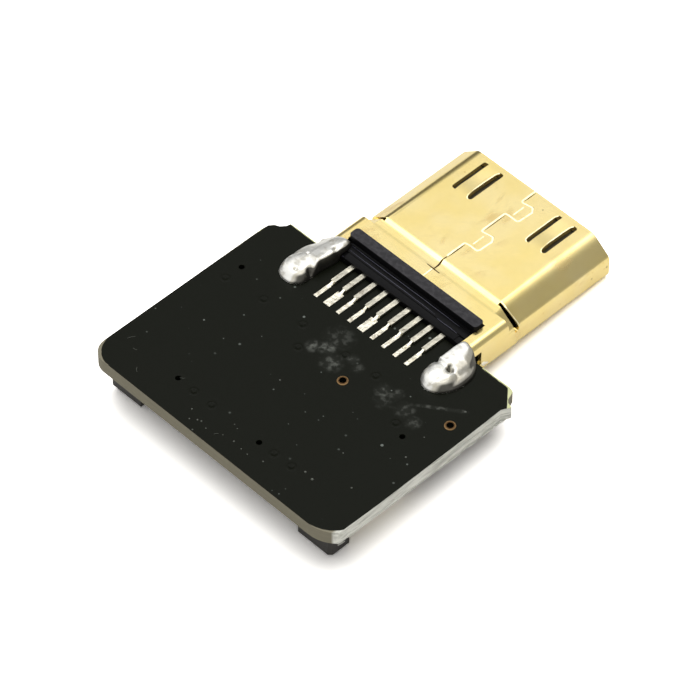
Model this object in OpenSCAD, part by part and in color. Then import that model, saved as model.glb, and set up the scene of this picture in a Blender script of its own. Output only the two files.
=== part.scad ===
// Mini plug with a folded metal shell, soldered astride the edge of a small carrier board.
// A flat cable connector with a sliding lock sits on the board's underside.
// X runs across the board, Y runs from the cable end to the plug's mouth, and Z points up.
// Each sub-part is drawn with the board's top face at Z = 0 and the board's cable edge at Y = 0.
// The whole is then moved so that its origin is at the middle of its footprint, at its lowest face.

/* [Board] */
// Width of the board across the plug
board_w = 17; // [16:0.1:20]
// Depth of the board from the cable edge to the plug edge
board_d = 13.1; // [12.9:0.05:13.3]
// Thickness of the board
board_t = 0.8; // [0.6:0.1:1]
// Radius of the rounded corner at the cable edge's left end
board_corner_r = 1; // [0.3:0.1:1.5]
// How far the stub of a snapped tab stands out of the board's right edge
stub_reach = 0.2; // [0:0.05:0.3]
// Height of a tinned copper pad above the board
pad_t = 0.04; // [0.02:0.01:0.05]
// Diameter of a plated through hole
via_d = 0.32; // [0.2:0.02:0.4]
// Diameter of a hole whose copper ring is left bare
ringed_via_d = 0.38; // [0.3:0.02:0.5]

/* [Plug shell] */
// Offset of the plug from the middle of the board
plug_x = -0.1; // [-0.3:0.05:0.3]
// Width of the shell
shell_w = 10.4; // [10.3:0.05:10.5]
// Height of the shell
shell_h = 2.4; // [2.3:0.05:2.5]
// Width of the narrow top face, between the two bends
shell_top_w = 8.1; // [7.8:0.05:8.3]
// Height of the sloping faces below the narrow top face
shell_slope_h = 0.92; // [0.8:0.02:1]
// Thickness of the shell's sheet
sheet_t = 0.25; // [0.2:0.01:0.25]
// Outer radius of the shell's bends
bend_r = 0.45; // [0.35:0.05:0.5]
// Distance of the shell's lip from the board's cable edge
lip_y = 23; // [22.5:0.1:23.5]
// Drop of the shell's rear top face below its front top face
rear_drop = 0.18; // [0.1:0.02:0.24]

/* [Plug contacts] */
// Spacing of the contacts in each row
contact_pitch = 0.8; // [0.8:0.01:0.8]
// Width of a contact
contact_w = 0.28; // [0.2:0.01:0.3]
// Thickness of a contact
contact_t = 0.15; // [0.1:0.01:0.18]

/* [Flat cable connector] */
// Spacing of the cable contacts
cable_pitch = 0.5; // [0.5:0.01:0.5]
// Number of cable contacts
cable_contacts = 20; // [16:1:20]
// Height of the connector below the board
socket_h = 2; // [1.9:0.05:2.1]
// Offset of the connector from the middle of the board
socket_x = -0.2; // [-0.3:0.05:0.3]
// Width across the lock's two ears
lock_w = 15.7; // [15.5:0.1:15.8]

/* [Hidden] */
$fn = 48;
eps = 0.01;
top_contacts = 9;
bottom_contacts = 10;

// Heights. The plug's middle plane is the board's middle plane.
mid_z = -board_t / 2;
shell_low_z = mid_z - shell_h / 2;
shell_top_z = mid_z + shell_h / 2;
rear_top_z = shell_top_z - rear_drop;
ground_z = -board_t - socket_h;

// Places along the plug, from the board's edge to the lip
rear_widen = 0.05;
leg_end_y = 11.75;
notch_end_y = board_d + 0.65;
bar_back_y = board_d + 0.99;
bar_front_y = board_d + 1.66;
bar_w = 8.94;
bar_rise = 0.3;
neck_y = 15.7;
slope_slit_y = [16.15, 16.47];
slope_slit_narrow = 0.14;
step_y = 16.5;
slope_slit_low_z = -0.45;
leg_inner_x = 4.44;

// Window cuts that leave a bowed spring strip on each side of the top face
strip_x = 2.6;
strip_half_w = 0.41;
window_w = 0.28;
window_y = [20.2, 22.65];
strip_bow = 0.07;

// Seam with two dovetailed tongues
seam_w = 0.03;
tongue_ys = [21.42, 18.54];
tongue_reach = 0.88;
score_depth = 0.05;

// Moulded insulator
insulator_gap = 0.02;
insulator_front_y = lip_y - 0.3;
insulator_wide_y = slope_slit_y[1] + 0.1;
cavity_y = 17.3;
cavity_w = 8.3;
cavity_h = 1;
slab_y = board_d + 0.05;

// Plug contacts
contact_low_z = pad_t;
contact_high_z = pad_t + contact_t;
contact_end_y = insulator_front_y - 0.7;
contact_bow_y = contact_end_y - 2.2;
contact_bow = 0.26;
contact_tip_y = leg_end_y;
pad_near_y = 10.49;
pad_far_y = 12.9;
pad_w = 0.23;
wide_pad_w = 0.43;
wide_pads = [1, 4];
neck_w = 0.13;

// Flat cable connector, measured down from the board's underside
socket_half_w = 7.05;
socket_y = [2.3, 6.3];
slot_half_w = (cable_contacts - 1) * cable_pitch / 2 + 0.55;
slot_floor = 0.4;
slot_roof = 1.2;
slot_end_y = 5.6;
cable_contact_w = 0.2;
cable_pad_t = 0.03;
cable_tail_y = 7;
lock_ear = [2.25, 1.3, 1.8];
lock_ear_y = 0.88;
lock_low = 0.15;
lock_play = 0.1;
lock_arm_x = [slot_half_w + 0.2, slot_half_w + 1.3];

// Centres of the plated holes: open, ringed with bare copper, and covered by the mask
open_vias = [[-7.3, 9.25], [-4.1, 1.9], [1.7, 1.86], [6.3, 7.1]];
ringed_vias = [[1.68, 7.56], [7.43, 9.26]];
covered_vias = [
    [-7.33, 8.16], [-4.93, 8.52], [-2.36, 8.74], [-1.44, 7.52], [0.59, 8.81], [2.61, 8.93],
    [-2.92, 1.85], [-1.65, 1.86], [2.74, 1.88], [3.92, 1.9], [5.47, 7.47],
];

function unit(v) = v / norm(v);
function inward(a, b) = let (d = unit(b - a)) [-d.y, d.x];
function row_x(i, count, pitch) = (i - (count + 1) / 2) * pitch;

// Cross-sections, as counter-clockwise corners in X and Z
function half_and_half(right) = concat(right, [for (i = [len(right) - 1:-1:0]) [-right[i].x, right[i].y]]);
front_section = half_and_half([
    [shell_w / 2, shell_low_z],
    [shell_w / 2, shell_top_z - shell_slope_h],
    [shell_top_w / 2, shell_top_z],
]);
rear_section = half_and_half([
    [shell_w / 2 + rear_widen, shell_low_z],
    [shell_w / 2 + rear_widen, rear_top_z],
]);
flank_section = half_and_half([
    [shell_w / 2 + rear_widen, shell_low_z],
    [shell_w / 2 + rear_widen, 0],
]);

// Height of the top face over the step: a quick rounded drop, then a shallow dip to the crease
step_points = 12;
step_drops = [0, 0.03, 0.1, 0.22, 0.4, 0.58, 0.7, 0.79, 0.86, 0.91, 0.95, 0.98, 1];
function step_profile(inset) = [
    for (i = [0:step_points]) [
        step_y - (step_y - neck_y) * i / step_points,
        shell_top_z - inset - rear_drop * step_drops[i]
    ]
];

// A convex outline with every corner rounded to r, moved inwards by inset
module rounded_outline(points, r, inset = 0) {
    n = len(points);
    normals = [for (i = [0:n - 1]) inward(points[i], points[(i + 1) % n])];
    centres = [
        for (i = [0:n - 1]) let (before = normals[(i + n - 1) % n], after = normals[i])
            points[i] + r * (before + after) / (1 + before * after)
    ];
    reach = r - inset;
    polygon([
        for (i = [0:n - 1]) each [
            centres[i] - reach * normals[(i + n - 1) % n],
            centres[i] - reach * normals[i],
        ]
    ]);
    for (c = centres) translate(c) circle(reach);
}

// Extrudes a section in X and Z along Y
module along_y(from, to) {
    translate([0, to, 0]) rotate([90, 0, 0]) linear_extrude(to - from) children();
}

// Extrudes a profile in Y and Z along X, centred on the middle plane
module across_x(width) {
    translate([-width / 2, 0, 0]) rotate([90, 0, 90]) linear_extrude(width) children();
}

// A box between two corners
module block(low, high) {
    translate(low) cube(high - low);
}

module both_sides() {
    for (side = [0, 1]) mirror([side, 0, 0]) children();
}

// Mirrors about the board's middle plane, or leaves as drawn
module on_face(bottom) {
    translate([0, 0, mid_z]) mirror([0, 0, bottom ? 1 : 0]) translate([0, 0, -mid_z]) children();
}

// Turns heights above the drawing plane into depths below the board
module under_board() {
    translate([0, 0, -board_t]) mirror([0, 0, 1]) children();
}

// Moves the drawing so that its origin is at the middle of its lowest face
module placed() {
    translate([-stub_reach / 2, -lip_y / 2, -ground_z]) children();
}

// Board

// Left corner rounded by the router, both far corners left as snapped off their tabs
module board_outline() {
    w = board_w / 2;
    left_r = board_corner_r;
    right_r = 2;
    right_x = w - 1.45;
    difference() {
        union() {
            polygon([
                [left_r - w, 0],
                [w, 0],
                [w + 0.05, 3.4],
                [w, 9],
                [w - 0.05, board_d - 1.35],
                [w + stub_reach, board_d - 0.84],
                [w - 0.12, board_d - 0.76],
                [w - 0.28, board_d - 0.6],
                [w - 0.48, board_d - 0.06],
                [w - 0.78, board_d + 0.03],
                [w - 1.4, board_d + 0.02],
                [w - 1.8, board_d],
                [1.2 - w, board_d],
                [0.78 - w, board_d - 0.02],
                [0.72 - w, board_d - 0.28],
                [0.5 - w, board_d - 0.54],
                [0.24 - w, board_d - 0.66],
                [0.06 - w, board_d - 0.9],
                [-w, board_d - 1.3],
                [-w, left_r],
            ]);
            translate([left_r - w, left_r]) circle(left_r);
        }
        difference() {
            translate([right_x, -1]) square([right_r, right_r + 1]);
            translate([right_x, right_r]) circle(right_r);
        }
    }
}

module circuit_board() {
    color([0.13, 0.13, 0.12])
    difference() {
        translate([0, 0, -board_t]) linear_extrude(board_t) board_outline();
        for (p = open_vias)
            translate([p.x, p.y, -board_t - 1]) cylinder(d = via_d, h = board_t + 2, $fn = 24);
        for (p = ringed_vias)
            translate([p.x, p.y, -board_t - 1]) cylinder(d = ringed_via_d, h = board_t + 2, $fn = 32);
        for (p = covered_vias, z = [-0.05, -board_t - 1])
            translate([p.x, p.y, z]) cylinder(d = via_d, h = z < -board_t ? 1.05 : 1, $fn = 24);
    }
}

module contact_pad(width) {
    block([-width / 2, pad_near_y, 0], [width / 2, contact_tip_y - 0.22, pad_t]);
    block([-neck_w / 2, pad_near_y, 0], [neck_w / 2, pad_far_y, pad_t]);
    block([-pad_w / 2, contact_tip_y + 0.04, 0], [pad_w / 2, pad_far_y, pad_t]);
    across_x(neck_w) polygon([
        [contact_tip_y - 0.45, pad_t - eps],
        [contact_tip_y, pad_t - eps],
        [contact_tip_y, contact_high_z - 0.02],
        [contact_tip_y - 0.15, pad_t + 0.06],
    ]);
}

module leg_pad() {
    pad_r = 0.66;
    pad_x = 5.12;
    for (y = [11.15, 12.05]) translate([pad_x, y, 0]) cylinder(r = pad_r, h = pad_t);
    block([pad_x - pad_r, 11.15, 0], [pad_x + pad_r, 12.05, pad_t]);
}

module top_pads() {
    color([0.85, 0.84, 0.8])
    translate([plug_x, 0, 0]) {
        for (i = [1:top_contacts])
            translate([row_x(i, top_contacts, contact_pitch), 0, 0])
                contact_pad(len(search(i - 1, wide_pads)) > 0 ? wide_pad_w : pad_w);
        both_sides() leg_pad();
    }
    color([0.85, 0.6, 0.4])
    for (p = ringed_vias)
        translate([p.x, p.y, 0]) difference() {
            cylinder(d = ringed_via_d + 0.1, h = pad_t, $fn = 32);
            translate([0, 0, -1]) cylinder(d = ringed_via_d, h = 2, $fn = 32);
        }
}

module bottom_pads() {
    color([0.85, 0.84, 0.8]) {
        on_face(true) translate([plug_x, 0, 0]) {
            for (i = [1:bottom_contacts])
                translate([row_x(i, bottom_contacts, contact_pitch), 0, 0]) contact_pad(pad_w);
            both_sides() leg_pad();
        }
        under_board() translate([socket_x, 0, 0]) {
            for (i = [1:cable_contacts])
                translate([row_x(i, cable_contacts, cable_pitch), 0, 0])
                    block([-0.15, socket_y[1] - 0.1, 0], [0.15, cable_tail_y + 0.2, cable_pad_t]);
            both_sides() block([socket_half_w - 0.1, 3, 0], [socket_half_w + 0.9, 5, cable_pad_t]);
        }
    }
}

// Plug shell

// Everything inside the shell's surface, moved inwards by inset and run on by extra at both ends
module shell_block(inset, extra) {
    along_y(step_y - eps, lip_y + extra) rounded_outline(front_section, bend_r, inset);
    intersection() {
        along_y(neck_y - eps, step_y) rounded_outline(front_section, bend_r, inset);
        across_x(shell_w + 2) polygon(concat(
            [[neck_y - 1, shell_low_z - 1], [step_y + eps, shell_low_z - 1]],
            step_profile(inset),
            [[neck_y - 1, rear_top_z - inset]]
        ));
    }
    along_y(leg_end_y - extra, neck_y) rounded_outline(rear_section, bend_r, inset);
    along_y(neck_y - eps, slope_slit_y[0] + 0.15) rounded_outline(flank_section, bend_r, inset);
}

// A straight cut of the seam's width from p to q
module seam_cut(p, q) {
    run = q - p;
    translate([p.x, p.y, shell_top_z - 1]) rotate(atan2(run.y, run.x))
        translate([-seam_w / 2, -seam_w / 2, 0]) cube([norm(run) + seam_w, seam_w, 2]);
}

module seam() {
    path = concat(
        [[0, lip_y + 1]],
        [for (y = tongue_ys) each [
            [0, y + 0.58], [tongue_reach - 0.2, y + 0.7], [tongue_reach + 0.04, y + 0.42],
            [tongue_reach, y - 0.5], [tongue_reach - 0.1, y - 0.64], [0.2, y - 0.63], [0, y - 0.65],
        ]],
        [[0, bar_front_y - 1]]
    );
    for (i = [1:len(path) - 1]) seam_cut(path[i - 1], path[i]);
    seam_cut([-0.45, neck_y - 0.05], [0.45, neck_y - 0.05]);
    for (y = tongue_ys)
        block([0.29, y - 0.4, shell_top_z - score_depth], [0.35, y + 0.36, shell_top_z + 1]);
}

// The two slots that free a spring strip, and the plate between them
module strip_window() {
    gap_x = strip_half_w + window_w / 2;
    for (x = [-gap_x, gap_x]) translate([strip_x + x, 0, 0]) {
        block(
            [-window_w / 2, window_y[0] + window_w / 2, 0],
            [window_w / 2, window_y[1] - window_w / 2, 2]
        );
        for (y = [window_y[0] + window_w / 2, window_y[1] - window_w / 2])
            translate([0, y, 0]) cylinder(d = window_w, h = 2);
    }
    block([strip_x - gap_x, window_y[0], 0], [strip_x + gap_x, window_y[1], 2]);
}

module spring_strip() {
    steps = 16;
    from = window_y[0];
    run = window_y[1] - window_y[0];
    bow = concat(
        [[from - eps, 0]],
        [for (i = [0:steps]) [from + run * i / steps, -strip_bow * pow(sin(180 * i / steps), 2)]],
        [[from + run + eps, 0]]
    );
    translate([strip_x, 0, 0]) across_x(2 * strip_half_w) polygon(concat(
        [for (p = bow) [p.x, shell_top_z + p.y]],
        [for (i = [len(bow) - 1:-1:0]) [bow[i].x, shell_top_z - sheet_t + bow[i].y]]
    ));
}

// Slit across each sloping face, which parts the front of the shell from its wider rear
module slope_slit() {
    slit_w = slope_slit_y[1] - slope_slit_y[0];
    low_z = slope_slit_low_z + slit_w / 2;
    intersection() {
        across_x(2 * shell_w) polygon([
            [slope_slit_y[0], low_z], [slope_slit_y[1], low_z],
            [slope_slit_y[0] + slope_slit_narrow, shell_top_z + 0.1],
            [slope_slit_y[0], shell_top_z + 0.1],
        ]);
        block([shell_top_w / 2 - 0.05, 0, -2], [shell_w, lip_y, 2]);
    }
    translate([shell_w / 2 - 1, slope_slit_y[0] + slit_w / 2, low_z])
        rotate([0, 90, 0]) cylinder(d = slit_w, h = 2);
}

module plug_shell() {
    color([0.93, 0.8, 0.45])
    translate([plug_x, 0, 0]) {
        difference() {
            shell_block(0, 0);
            shell_block(sheet_t, 1);
            both_sides() slope_slit();
            both_sides() strip_window();
            seam();
            // Openings for the insulator's slab and bar, which leave a leg at each corner
            block(
                [-leg_inner_x, leg_end_y - 1, shell_low_z - 1],
                [leg_inner_x, bar_front_y, shell_top_z + 1]
            );
            block(
                [-bar_w / 2 - insulator_gap, bar_back_y - insulator_gap, shell_low_z - 1],
                [bar_w / 2 + insulator_gap, bar_front_y, shell_top_z + 1]
            );
            // The board's edge slides in between the upper and the lower legs
            block([-shell_w, leg_end_y - 1, -board_t - pad_t], [shell_w, notch_end_y, pad_t]);
        }
        both_sides() spring_strip();
    }
}

// Plug insulator

// The bar and the stepped slab behind the shell, drawn for the top face
module insulator_bar() {
    bar_r = 0.2;
    slab_x = leg_inner_x - 0.06;
    corner_x = bar_w / 2 - bar_r;
    corner_y = [bar_back_y + bar_r, bar_front_y - insulator_gap - bar_r];
    corner_run = corner_y[1] - corner_y[0];
    translate([0, 0, mid_z]) linear_extrude(rear_top_z + bar_rise - mid_z) {
        for (x = [-corner_x, corner_x], y = corner_y) translate([x, y]) circle(bar_r);
        translate([-corner_x, corner_y[0] - bar_r]) square([2 * corner_x, corner_run + 2 * bar_r]);
        translate([-bar_w / 2, corner_y[0]]) square([bar_w, corner_run]);
    }
    for (step = [[0, 0.3], [1, 0.4], [2, 0.46]]) {
        x = slab_x - 0.1 * step[0];
        block([-x, slab_y + 0.42 * step[0], mid_z], [x, bar_back_y + eps, step[1]]);
    }
}

module contact_tunnels(count) {
    for (i = [1:count]) translate([row_x(i, count, contact_pitch), 0, 0]) {
        block([-contact_w / 2, slab_y - 1, contact_low_z], [contact_w / 2, cavity_y + 1, contact_high_z]);
        block([-contact_w / 2 - 0.04, cavity_y, mid_z], [contact_w / 2 + 0.04, contact_end_y + 0.1, 0.28]);
    }
}

module plug_insulator() {
    wall = sheet_t + insulator_gap;
    color([0.16, 0.16, 0.17])
    translate([plug_x, 0, 0])
    difference() {
        union() {
            along_y(insulator_wide_y, insulator_front_y) rounded_outline(front_section, bend_r, wall);
            block(
                [-shell_w / 2 + wall + 0.1, notch_end_y + 0.05, shell_low_z + wall + 0.2],
                [shell_w / 2 - wall - 0.1, neck_y, 0.2]
            );
            block(
                [-shell_top_w / 2 + 0.15, slab_y, shell_low_z + wall + 0.1],
                [shell_top_w / 2 - 0.15, insulator_wide_y + eps, rear_top_z - wall]
            );
            for (bottom = [false, true]) on_face(bottom) insulator_bar();
        }
        block(
            [-cavity_w / 2, cavity_y, mid_z - cavity_h / 2],
            [cavity_w / 2, lip_y, mid_z + cavity_h / 2]
        );
        on_face(false) contact_tunnels(top_contacts);
        on_face(true) contact_tunnels(bottom_contacts);
        // Room below each bowed strip
        both_sides() block(
            [strip_x - 0.75, window_y[0] - 0.05, shell_top_z - sheet_t - strip_bow - 0.03],
            [strip_x + 0.75, window_y[1] - 0.1, shell_top_z]
        );
    }
}

// Plug contacts

module plug_contact() {
    steps = 14;
    run = contact_end_y - contact_bow_y;
    bow = [
        for (i = [0:steps])
            [contact_bow_y + run * i / steps, -contact_bow * pow(sin(150 * i / steps), 2)]
    ];
    color([0.8, 0.78, 0.7])
    across_x(contact_w) polygon(concat(
        [[contact_tip_y, contact_high_z]],
        [for (p = bow) [p.x, contact_high_z + p.y]],
        [for (i = [steps:-1:0]) [bow[i].x, contact_low_z + bow[i].y]],
        [[contact_tip_y, contact_low_z]]
    ));
}

module plug_contact_in_row(i, count, bottom) {
    on_face(bottom) translate([plug_x + row_x(i, count, contact_pitch), 0, 0]) plug_contact();
}

// Solder joints between the shell's legs and the board

// Solder on the right of the top face: a dome at the leg's end, a coat along it and a low skirt
module leg_solder(dome_r, coat_r, coat_end_y, skirt_x) {
    leg_x = 4.82;
    difference() {
        union() {
            translate([leg_x + 0.18, 11.05, -0.42]) sphere(dome_r);
            translate([leg_x, 11.6, -0.1]) sphere(coat_r + 0.12);
            along_y(11.1, coat_end_y) translate([leg_x, 0.06]) circle(coat_r);
            along_y(11.1, coat_end_y) translate([leg_x - 0.18, 0.22]) circle(coat_r - 0.14);
            translate([leg_x, coat_end_y, 0.04]) sphere(coat_r - 0.04);
            translate([skirt_x, 11.95, -0.78]) sphere(1);
        }
        block([0, 9, -2], [8, 16, pad_t]);
        block([0, leg_end_y - 0.06, -2], [leg_inner_x + 0.01, 16, 2]);
        // Room for the insulator between the legs
        block([0, notch_end_y - 0.05, -2], [leg_x + 0.26, 16, rear_top_z - sheet_t - 0.06]);
    }
}

module leg_solder_at(left, bottom, dome_r, coat_r, coat_end_y, skirt_x) {
    color([0.8, 0.8, 0.79])
    difference() {
        on_face(bottom) translate([plug_x, 0, 0]) mirror([left ? 1 : 0, 0, 0])
            leg_solder(dome_r, coat_r, coat_end_y, skirt_x);
        plug_shell();
    }
}

module solder_top_left() leg_solder_at(true, false, 0.9, 0.63, 13.45, 5.12);
module solder_top_right() leg_solder_at(false, false, 0.95, 0.64, 13, 5.4);
module solder_bottom_left() leg_solder_at(true, true, 0.9, 0.61, 12.6, 5.2);
module solder_bottom_right() leg_solder_at(false, true, 0.9, 0.61, 12.6, 5.2);

// Flat cable connector

module socket_housing() {
    color([0.9, 0.87, 0.78])
    under_board() translate([socket_x, 0, 0]) difference() {
        block([-socket_half_w, socket_y[0], 0.05], [socket_half_w, socket_y[1], socket_h]);
        // Slot for the cable, with a groove for each contact in its floor
        block([-slot_half_w, socket_y[0] - 1, slot_floor], [slot_half_w, slot_end_y, slot_roof]);
        for (i = [1:cable_contacts]) translate([row_x(i, cable_contacts, cable_pitch), 0, 0]) {
            block(
                [-cable_contact_w / 2, 2.6, 0.17],
                [cable_contact_w / 2, socket_y[1] + 1, slot_floor + eps]
            );
            block([-0.12, 4.9, socket_h - 0.45], [0.12, 5.9, socket_h + 1]);
        }
        // Channels for the lock's arms
        both_sides() block([lock_arm_x[0], socket_y[0] - 1, 0.45], [lock_arm_x[1], 5, 1.35]);
        // Lead-in along the roof of the slot
        across_x(2 * slot_half_w) polygon([
            [socket_y[0] - eps, slot_roof - eps], [socket_y[0] + 0.35, slot_roof - eps],
            [socket_y[0] - eps, slot_roof + 0.35],
        ]);
        // Step along the rear edge, above the soldered feet
        block([-slot_half_w, socket_y[1] - 0.35, 0.9], [slot_half_w, socket_y[1] + 1, socket_h - 0.35]);
    }
}

module socket_lock() {
    ear_x = lock_w / 2;
    bar_y = [lock_ear_y + 0.45, socket_y[0] - lock_play - 0.1];
    tongue_low = slot_roof - 0.35;
    color([0.17, 0.15, 0.14])
    under_board() translate([socket_x, 0, 0]) {
        both_sides() {
            translate([0, 0, lock_low]) linear_extrude(lock_ear.z) polygon([
                [ear_x - lock_ear.x, lock_ear_y],
                [ear_x - 0.18, lock_ear_y],
                [ear_x, lock_ear_y + 0.18],
                [ear_x, lock_ear_y + lock_ear.y],
                [ear_x - lock_ear.x, lock_ear_y + lock_ear.y],
            ]);
            block(
                [lock_arm_x[0] + lock_play, lock_ear_y + 0.5, 0.45 + lock_play],
                [lock_arm_x[1] - lock_play, 4.6, 1.35 - lock_play]
            );
        }
        block(
            [lock_ear.x - ear_x - eps, bar_y[0], tongue_low],
            [ear_x - lock_ear.x + eps, bar_y[1], lock_low + lock_ear.z - 0.05]
        );
        across_x(2 * (slot_half_w - lock_play)) polygon([
            [bar_y[0], tongue_low], [4.6, tongue_low], [5, tongue_low + 0.15],
            [5, slot_roof - lock_play + 0.02], [bar_y[0], slot_roof - lock_play + 0.02],
        ]);
    }
}

module hold_down(left) {
    color([0.8, 0.8, 0.78])
    translate([socket_x, 0, 0]) mirror([left ? 1 : 0, 0, 0]) under_board() {
        block([socket_half_w, 3.2, cable_pad_t], [socket_half_w + 0.75, 4.8, 0.23]);
        block([socket_half_w, 3.2, cable_pad_t], [socket_half_w + 0.2, 4.8, 1.15]);
        block([socket_half_w, 3.7, 1.1], [socket_half_w + 0.2, 4.3, 1.5]);
    }
}

module hold_down_left() hold_down(true);
module hold_down_right() hold_down(false);

// One contact: a soldered foot, a rise into the housing and a sprung arm with a raised tip
module socket_contact(i) {
    t = 0.15;
    foot_z = cable_pad_t;
    beam_z = 0.17;
    color([0.82, 0.8, 0.74])
    under_board() translate([socket_x + row_x(i, cable_contacts, cable_pitch), 0, 0])
    across_x(cable_contact_w) polygon([
        [cable_tail_y, foot_z], [cable_tail_y, foot_z + 0.12], [6.6, foot_z + 0.12],
        [6.5, beam_z + t], [4.3, beam_z + t], [3.6, 0.5], [3.35, 0.5], [2.95, 0.36],
        [2.75, 0.36], [2.75, 0.24], [3.05, 0.24], [3.45, 0.37], [4.3, beam_z],
        [6.38, beam_z], [6.46, foot_z],
    ]);
}

placed() {
    circuit_board();
    top_pads();
    bottom_pads();
    plug_shell();
    plug_insulator();
    for (i = [1:top_contacts])
        plug_contact_in_row(i, top_contacts, false);
    for (i = [1:bottom_contacts])
        plug_contact_in_row(i, bottom_contacts, true);
    solder_top_left();
    solder_top_right();
    solder_bottom_left();
    solder_bottom_right();
    socket_housing();
    socket_lock();
    hold_down_left();
    hold_down_right();
    for (i = [1:cable_contacts])
        socket_contact(i);
}
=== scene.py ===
"""Dresses a mini display plug on a small carrier board, and sets its camera, light and table.

Lengths in this file are in millimetres. X runs across the board, Y from the cable end towards the plug's
mouth and Z up. The origin is the middle of the part's footprint, on the height of its lowest point.
"""

from __future__ import annotations

import logging
import math
from dataclasses import dataclass, field, replace
from enum import Enum
from typing import Any, Callable, Sequence

import bmesh
import bpy
import numpy as np
from mathutils import Matrix, Vector

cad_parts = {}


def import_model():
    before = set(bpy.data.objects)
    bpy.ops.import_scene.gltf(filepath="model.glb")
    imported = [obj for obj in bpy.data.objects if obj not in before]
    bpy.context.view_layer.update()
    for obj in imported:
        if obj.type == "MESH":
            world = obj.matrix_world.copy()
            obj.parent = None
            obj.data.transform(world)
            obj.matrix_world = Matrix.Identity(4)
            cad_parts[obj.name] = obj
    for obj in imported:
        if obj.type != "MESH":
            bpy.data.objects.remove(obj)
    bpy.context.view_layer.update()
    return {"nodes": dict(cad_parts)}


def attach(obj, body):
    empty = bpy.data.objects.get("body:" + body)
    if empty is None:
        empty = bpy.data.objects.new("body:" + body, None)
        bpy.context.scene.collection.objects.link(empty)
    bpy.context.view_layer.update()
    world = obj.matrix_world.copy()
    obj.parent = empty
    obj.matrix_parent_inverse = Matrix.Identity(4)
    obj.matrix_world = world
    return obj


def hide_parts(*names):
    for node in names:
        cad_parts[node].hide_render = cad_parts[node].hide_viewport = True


LOG = logging.getLogger("plug")
MM = 0.001
BODY = "board"

# Heights of the board's faces and of the shell's top, the middles of board and plug, and the cable edge.
BOARD_TOP = 2.8
BOARD_LOW = 2.0
SHELL_TOP = 3.6
BOARD_X = -0.1
PLUG_X = -0.2
NEAR_Y = -11.5

# Height of the solder's underside above the board, just inside the pads, and the two holes with a bare ring.
SOLDER_FOOT = 0.03
RINGED_HOLES = ((1.58, -3.94), (7.33, -2.24))

# The two spring strips, from the plug's middle and from the cable edge.
STRIP_X = 2.6
STRIP_HALF = 0.43
STRIP_ENDS = (20.25, 22.63)
BOW_START = 20.26
BOW_LENGTH = 2.36

# Edges flatter than the first angle are dissolved, and those sharper than the second are rounded.
FLAT_ANGLE = math.radians(0.6)
EDGE_ANGLE = math.radians(38)

Pair = tuple[float, float]
Corners = Sequence[Pair]
Spots = Sequence[tuple[float, float, float, float]]
Grid = tuple[np.ndarray, np.ndarray]
Height = Callable[[np.ndarray, np.ndarray], np.ndarray]
Mound = Callable[[np.ndarray, np.ndarray, np.ndarray], np.ndarray]


class Kind(Enum):
    """Where a surface value is read from."""

    OBJECT = "Object"
    NORMAL = "Normal"


@dataclass(frozen=True)
class Tint:
    """A colour as it looks on screen, in steps of 0 to 255."""

    red: float
    green: float
    blue: float

    def linear(self) -> tuple[float, float, float, float]:
        """Returns the colour as linear light with full alpha."""
        steps = np.array([self.red, self.green, self.blue]) / 255.0
        light = np.where(steps <= 0.04045, steps / 12.92, ((steps + 0.055) / 1.055) ** 2.4)
        return (float(light[0]), float(light[1]), float(light[2]), 1.0)


# Shader maths


class Value:
    """A shader socket that can be used in sums and products."""

    def __init__(self, paint: "Paint", socket: bpy.types.NodeSocket) -> None:
        """Keeps the socket and the paint whose nodes it belongs to.

        Args:
            paint: The paint that new nodes are added to.
            socket: The output socket that carries the value.
        """
        self.paint = paint
        self.socket = socket

    def _math(self, operation: str, *others: Any, first: Any = None) -> "Value":
        """Adds one Math node and returns its result.

        Args:
            operation: The Math node's operation.
            *others: The inputs after the first.
            first: The first input where it isn't this value.

        Returns:
            The node's result.
        """
        inputs = [self if first is None else first, *others]
        return self.paint.node("ShaderNodeMath", {"operation": operation}, dict(enumerate(inputs)))

    def __add__(self, other: Any) -> "Value":
        """Returns this plus other."""
        return self._math("ADD", other)

    __radd__ = __add__

    def __mul__(self, other: Any) -> "Value":
        """Returns this times other."""
        return self._math("MULTIPLY", other)

    __rmul__ = __mul__

    def __sub__(self, other: Any) -> "Value":
        """Returns this minus other."""
        return self._math("SUBTRACT", other)

    def __rsub__(self, other: Any) -> "Value":
        """Returns other minus this."""
        return self._math("SUBTRACT", self, first=other)

    def __truediv__(self, other: Any) -> "Value":
        """Returns this divided by other."""
        return self._math("DIVIDE", other)

    def __pow__(self, other: Any) -> "Value":
        """Returns this to the power of other."""
        return self._math("POWER", other)

    def __gt__(self, other: Any) -> "Value":
        """Returns 1 where this is greater than other, else 0."""
        return self._math("GREATER_THAN", other)

    def __lt__(self, other: Any) -> "Value":
        """Returns 1 where this is less than other, else 0."""
        return self._math("LESS_THAN", other)

    def __abs__(self) -> "Value":
        """Returns the size of this value without its sign."""
        return self._math("ABSOLUTE")

    def lowest(self, other: Any) -> "Value":
        """Returns the lower of this and other."""
        return self._math("MINIMUM", other)

    def highest(self, other: Any) -> "Value":
        """Returns the higher of this and other."""
        return self._math("MAXIMUM", other)

    def root(self) -> "Value":
        """Returns the square root."""
        return self._math("SQRT")

    def ramp(self, start: float, end: float, low: float = 0.0, high: float = 1.0) -> "Value":
        """Eases from low to high as this goes from start to end.

        Args:
            start: The value at which the result is low.
            end: The value at which the result is high.
            low: The result at start.
            high: The result at end.

        Returns:
            The eased value.
        """
        spread = {"interpolation_type": "SMOOTHSTEP"}
        if start > end:
            start, end, low, high = end, start, high, low
        return self.paint.node("ShaderNodeMapRange", spread, {0: self, 1: start, 2: end, 3: low, 4: high})


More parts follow.
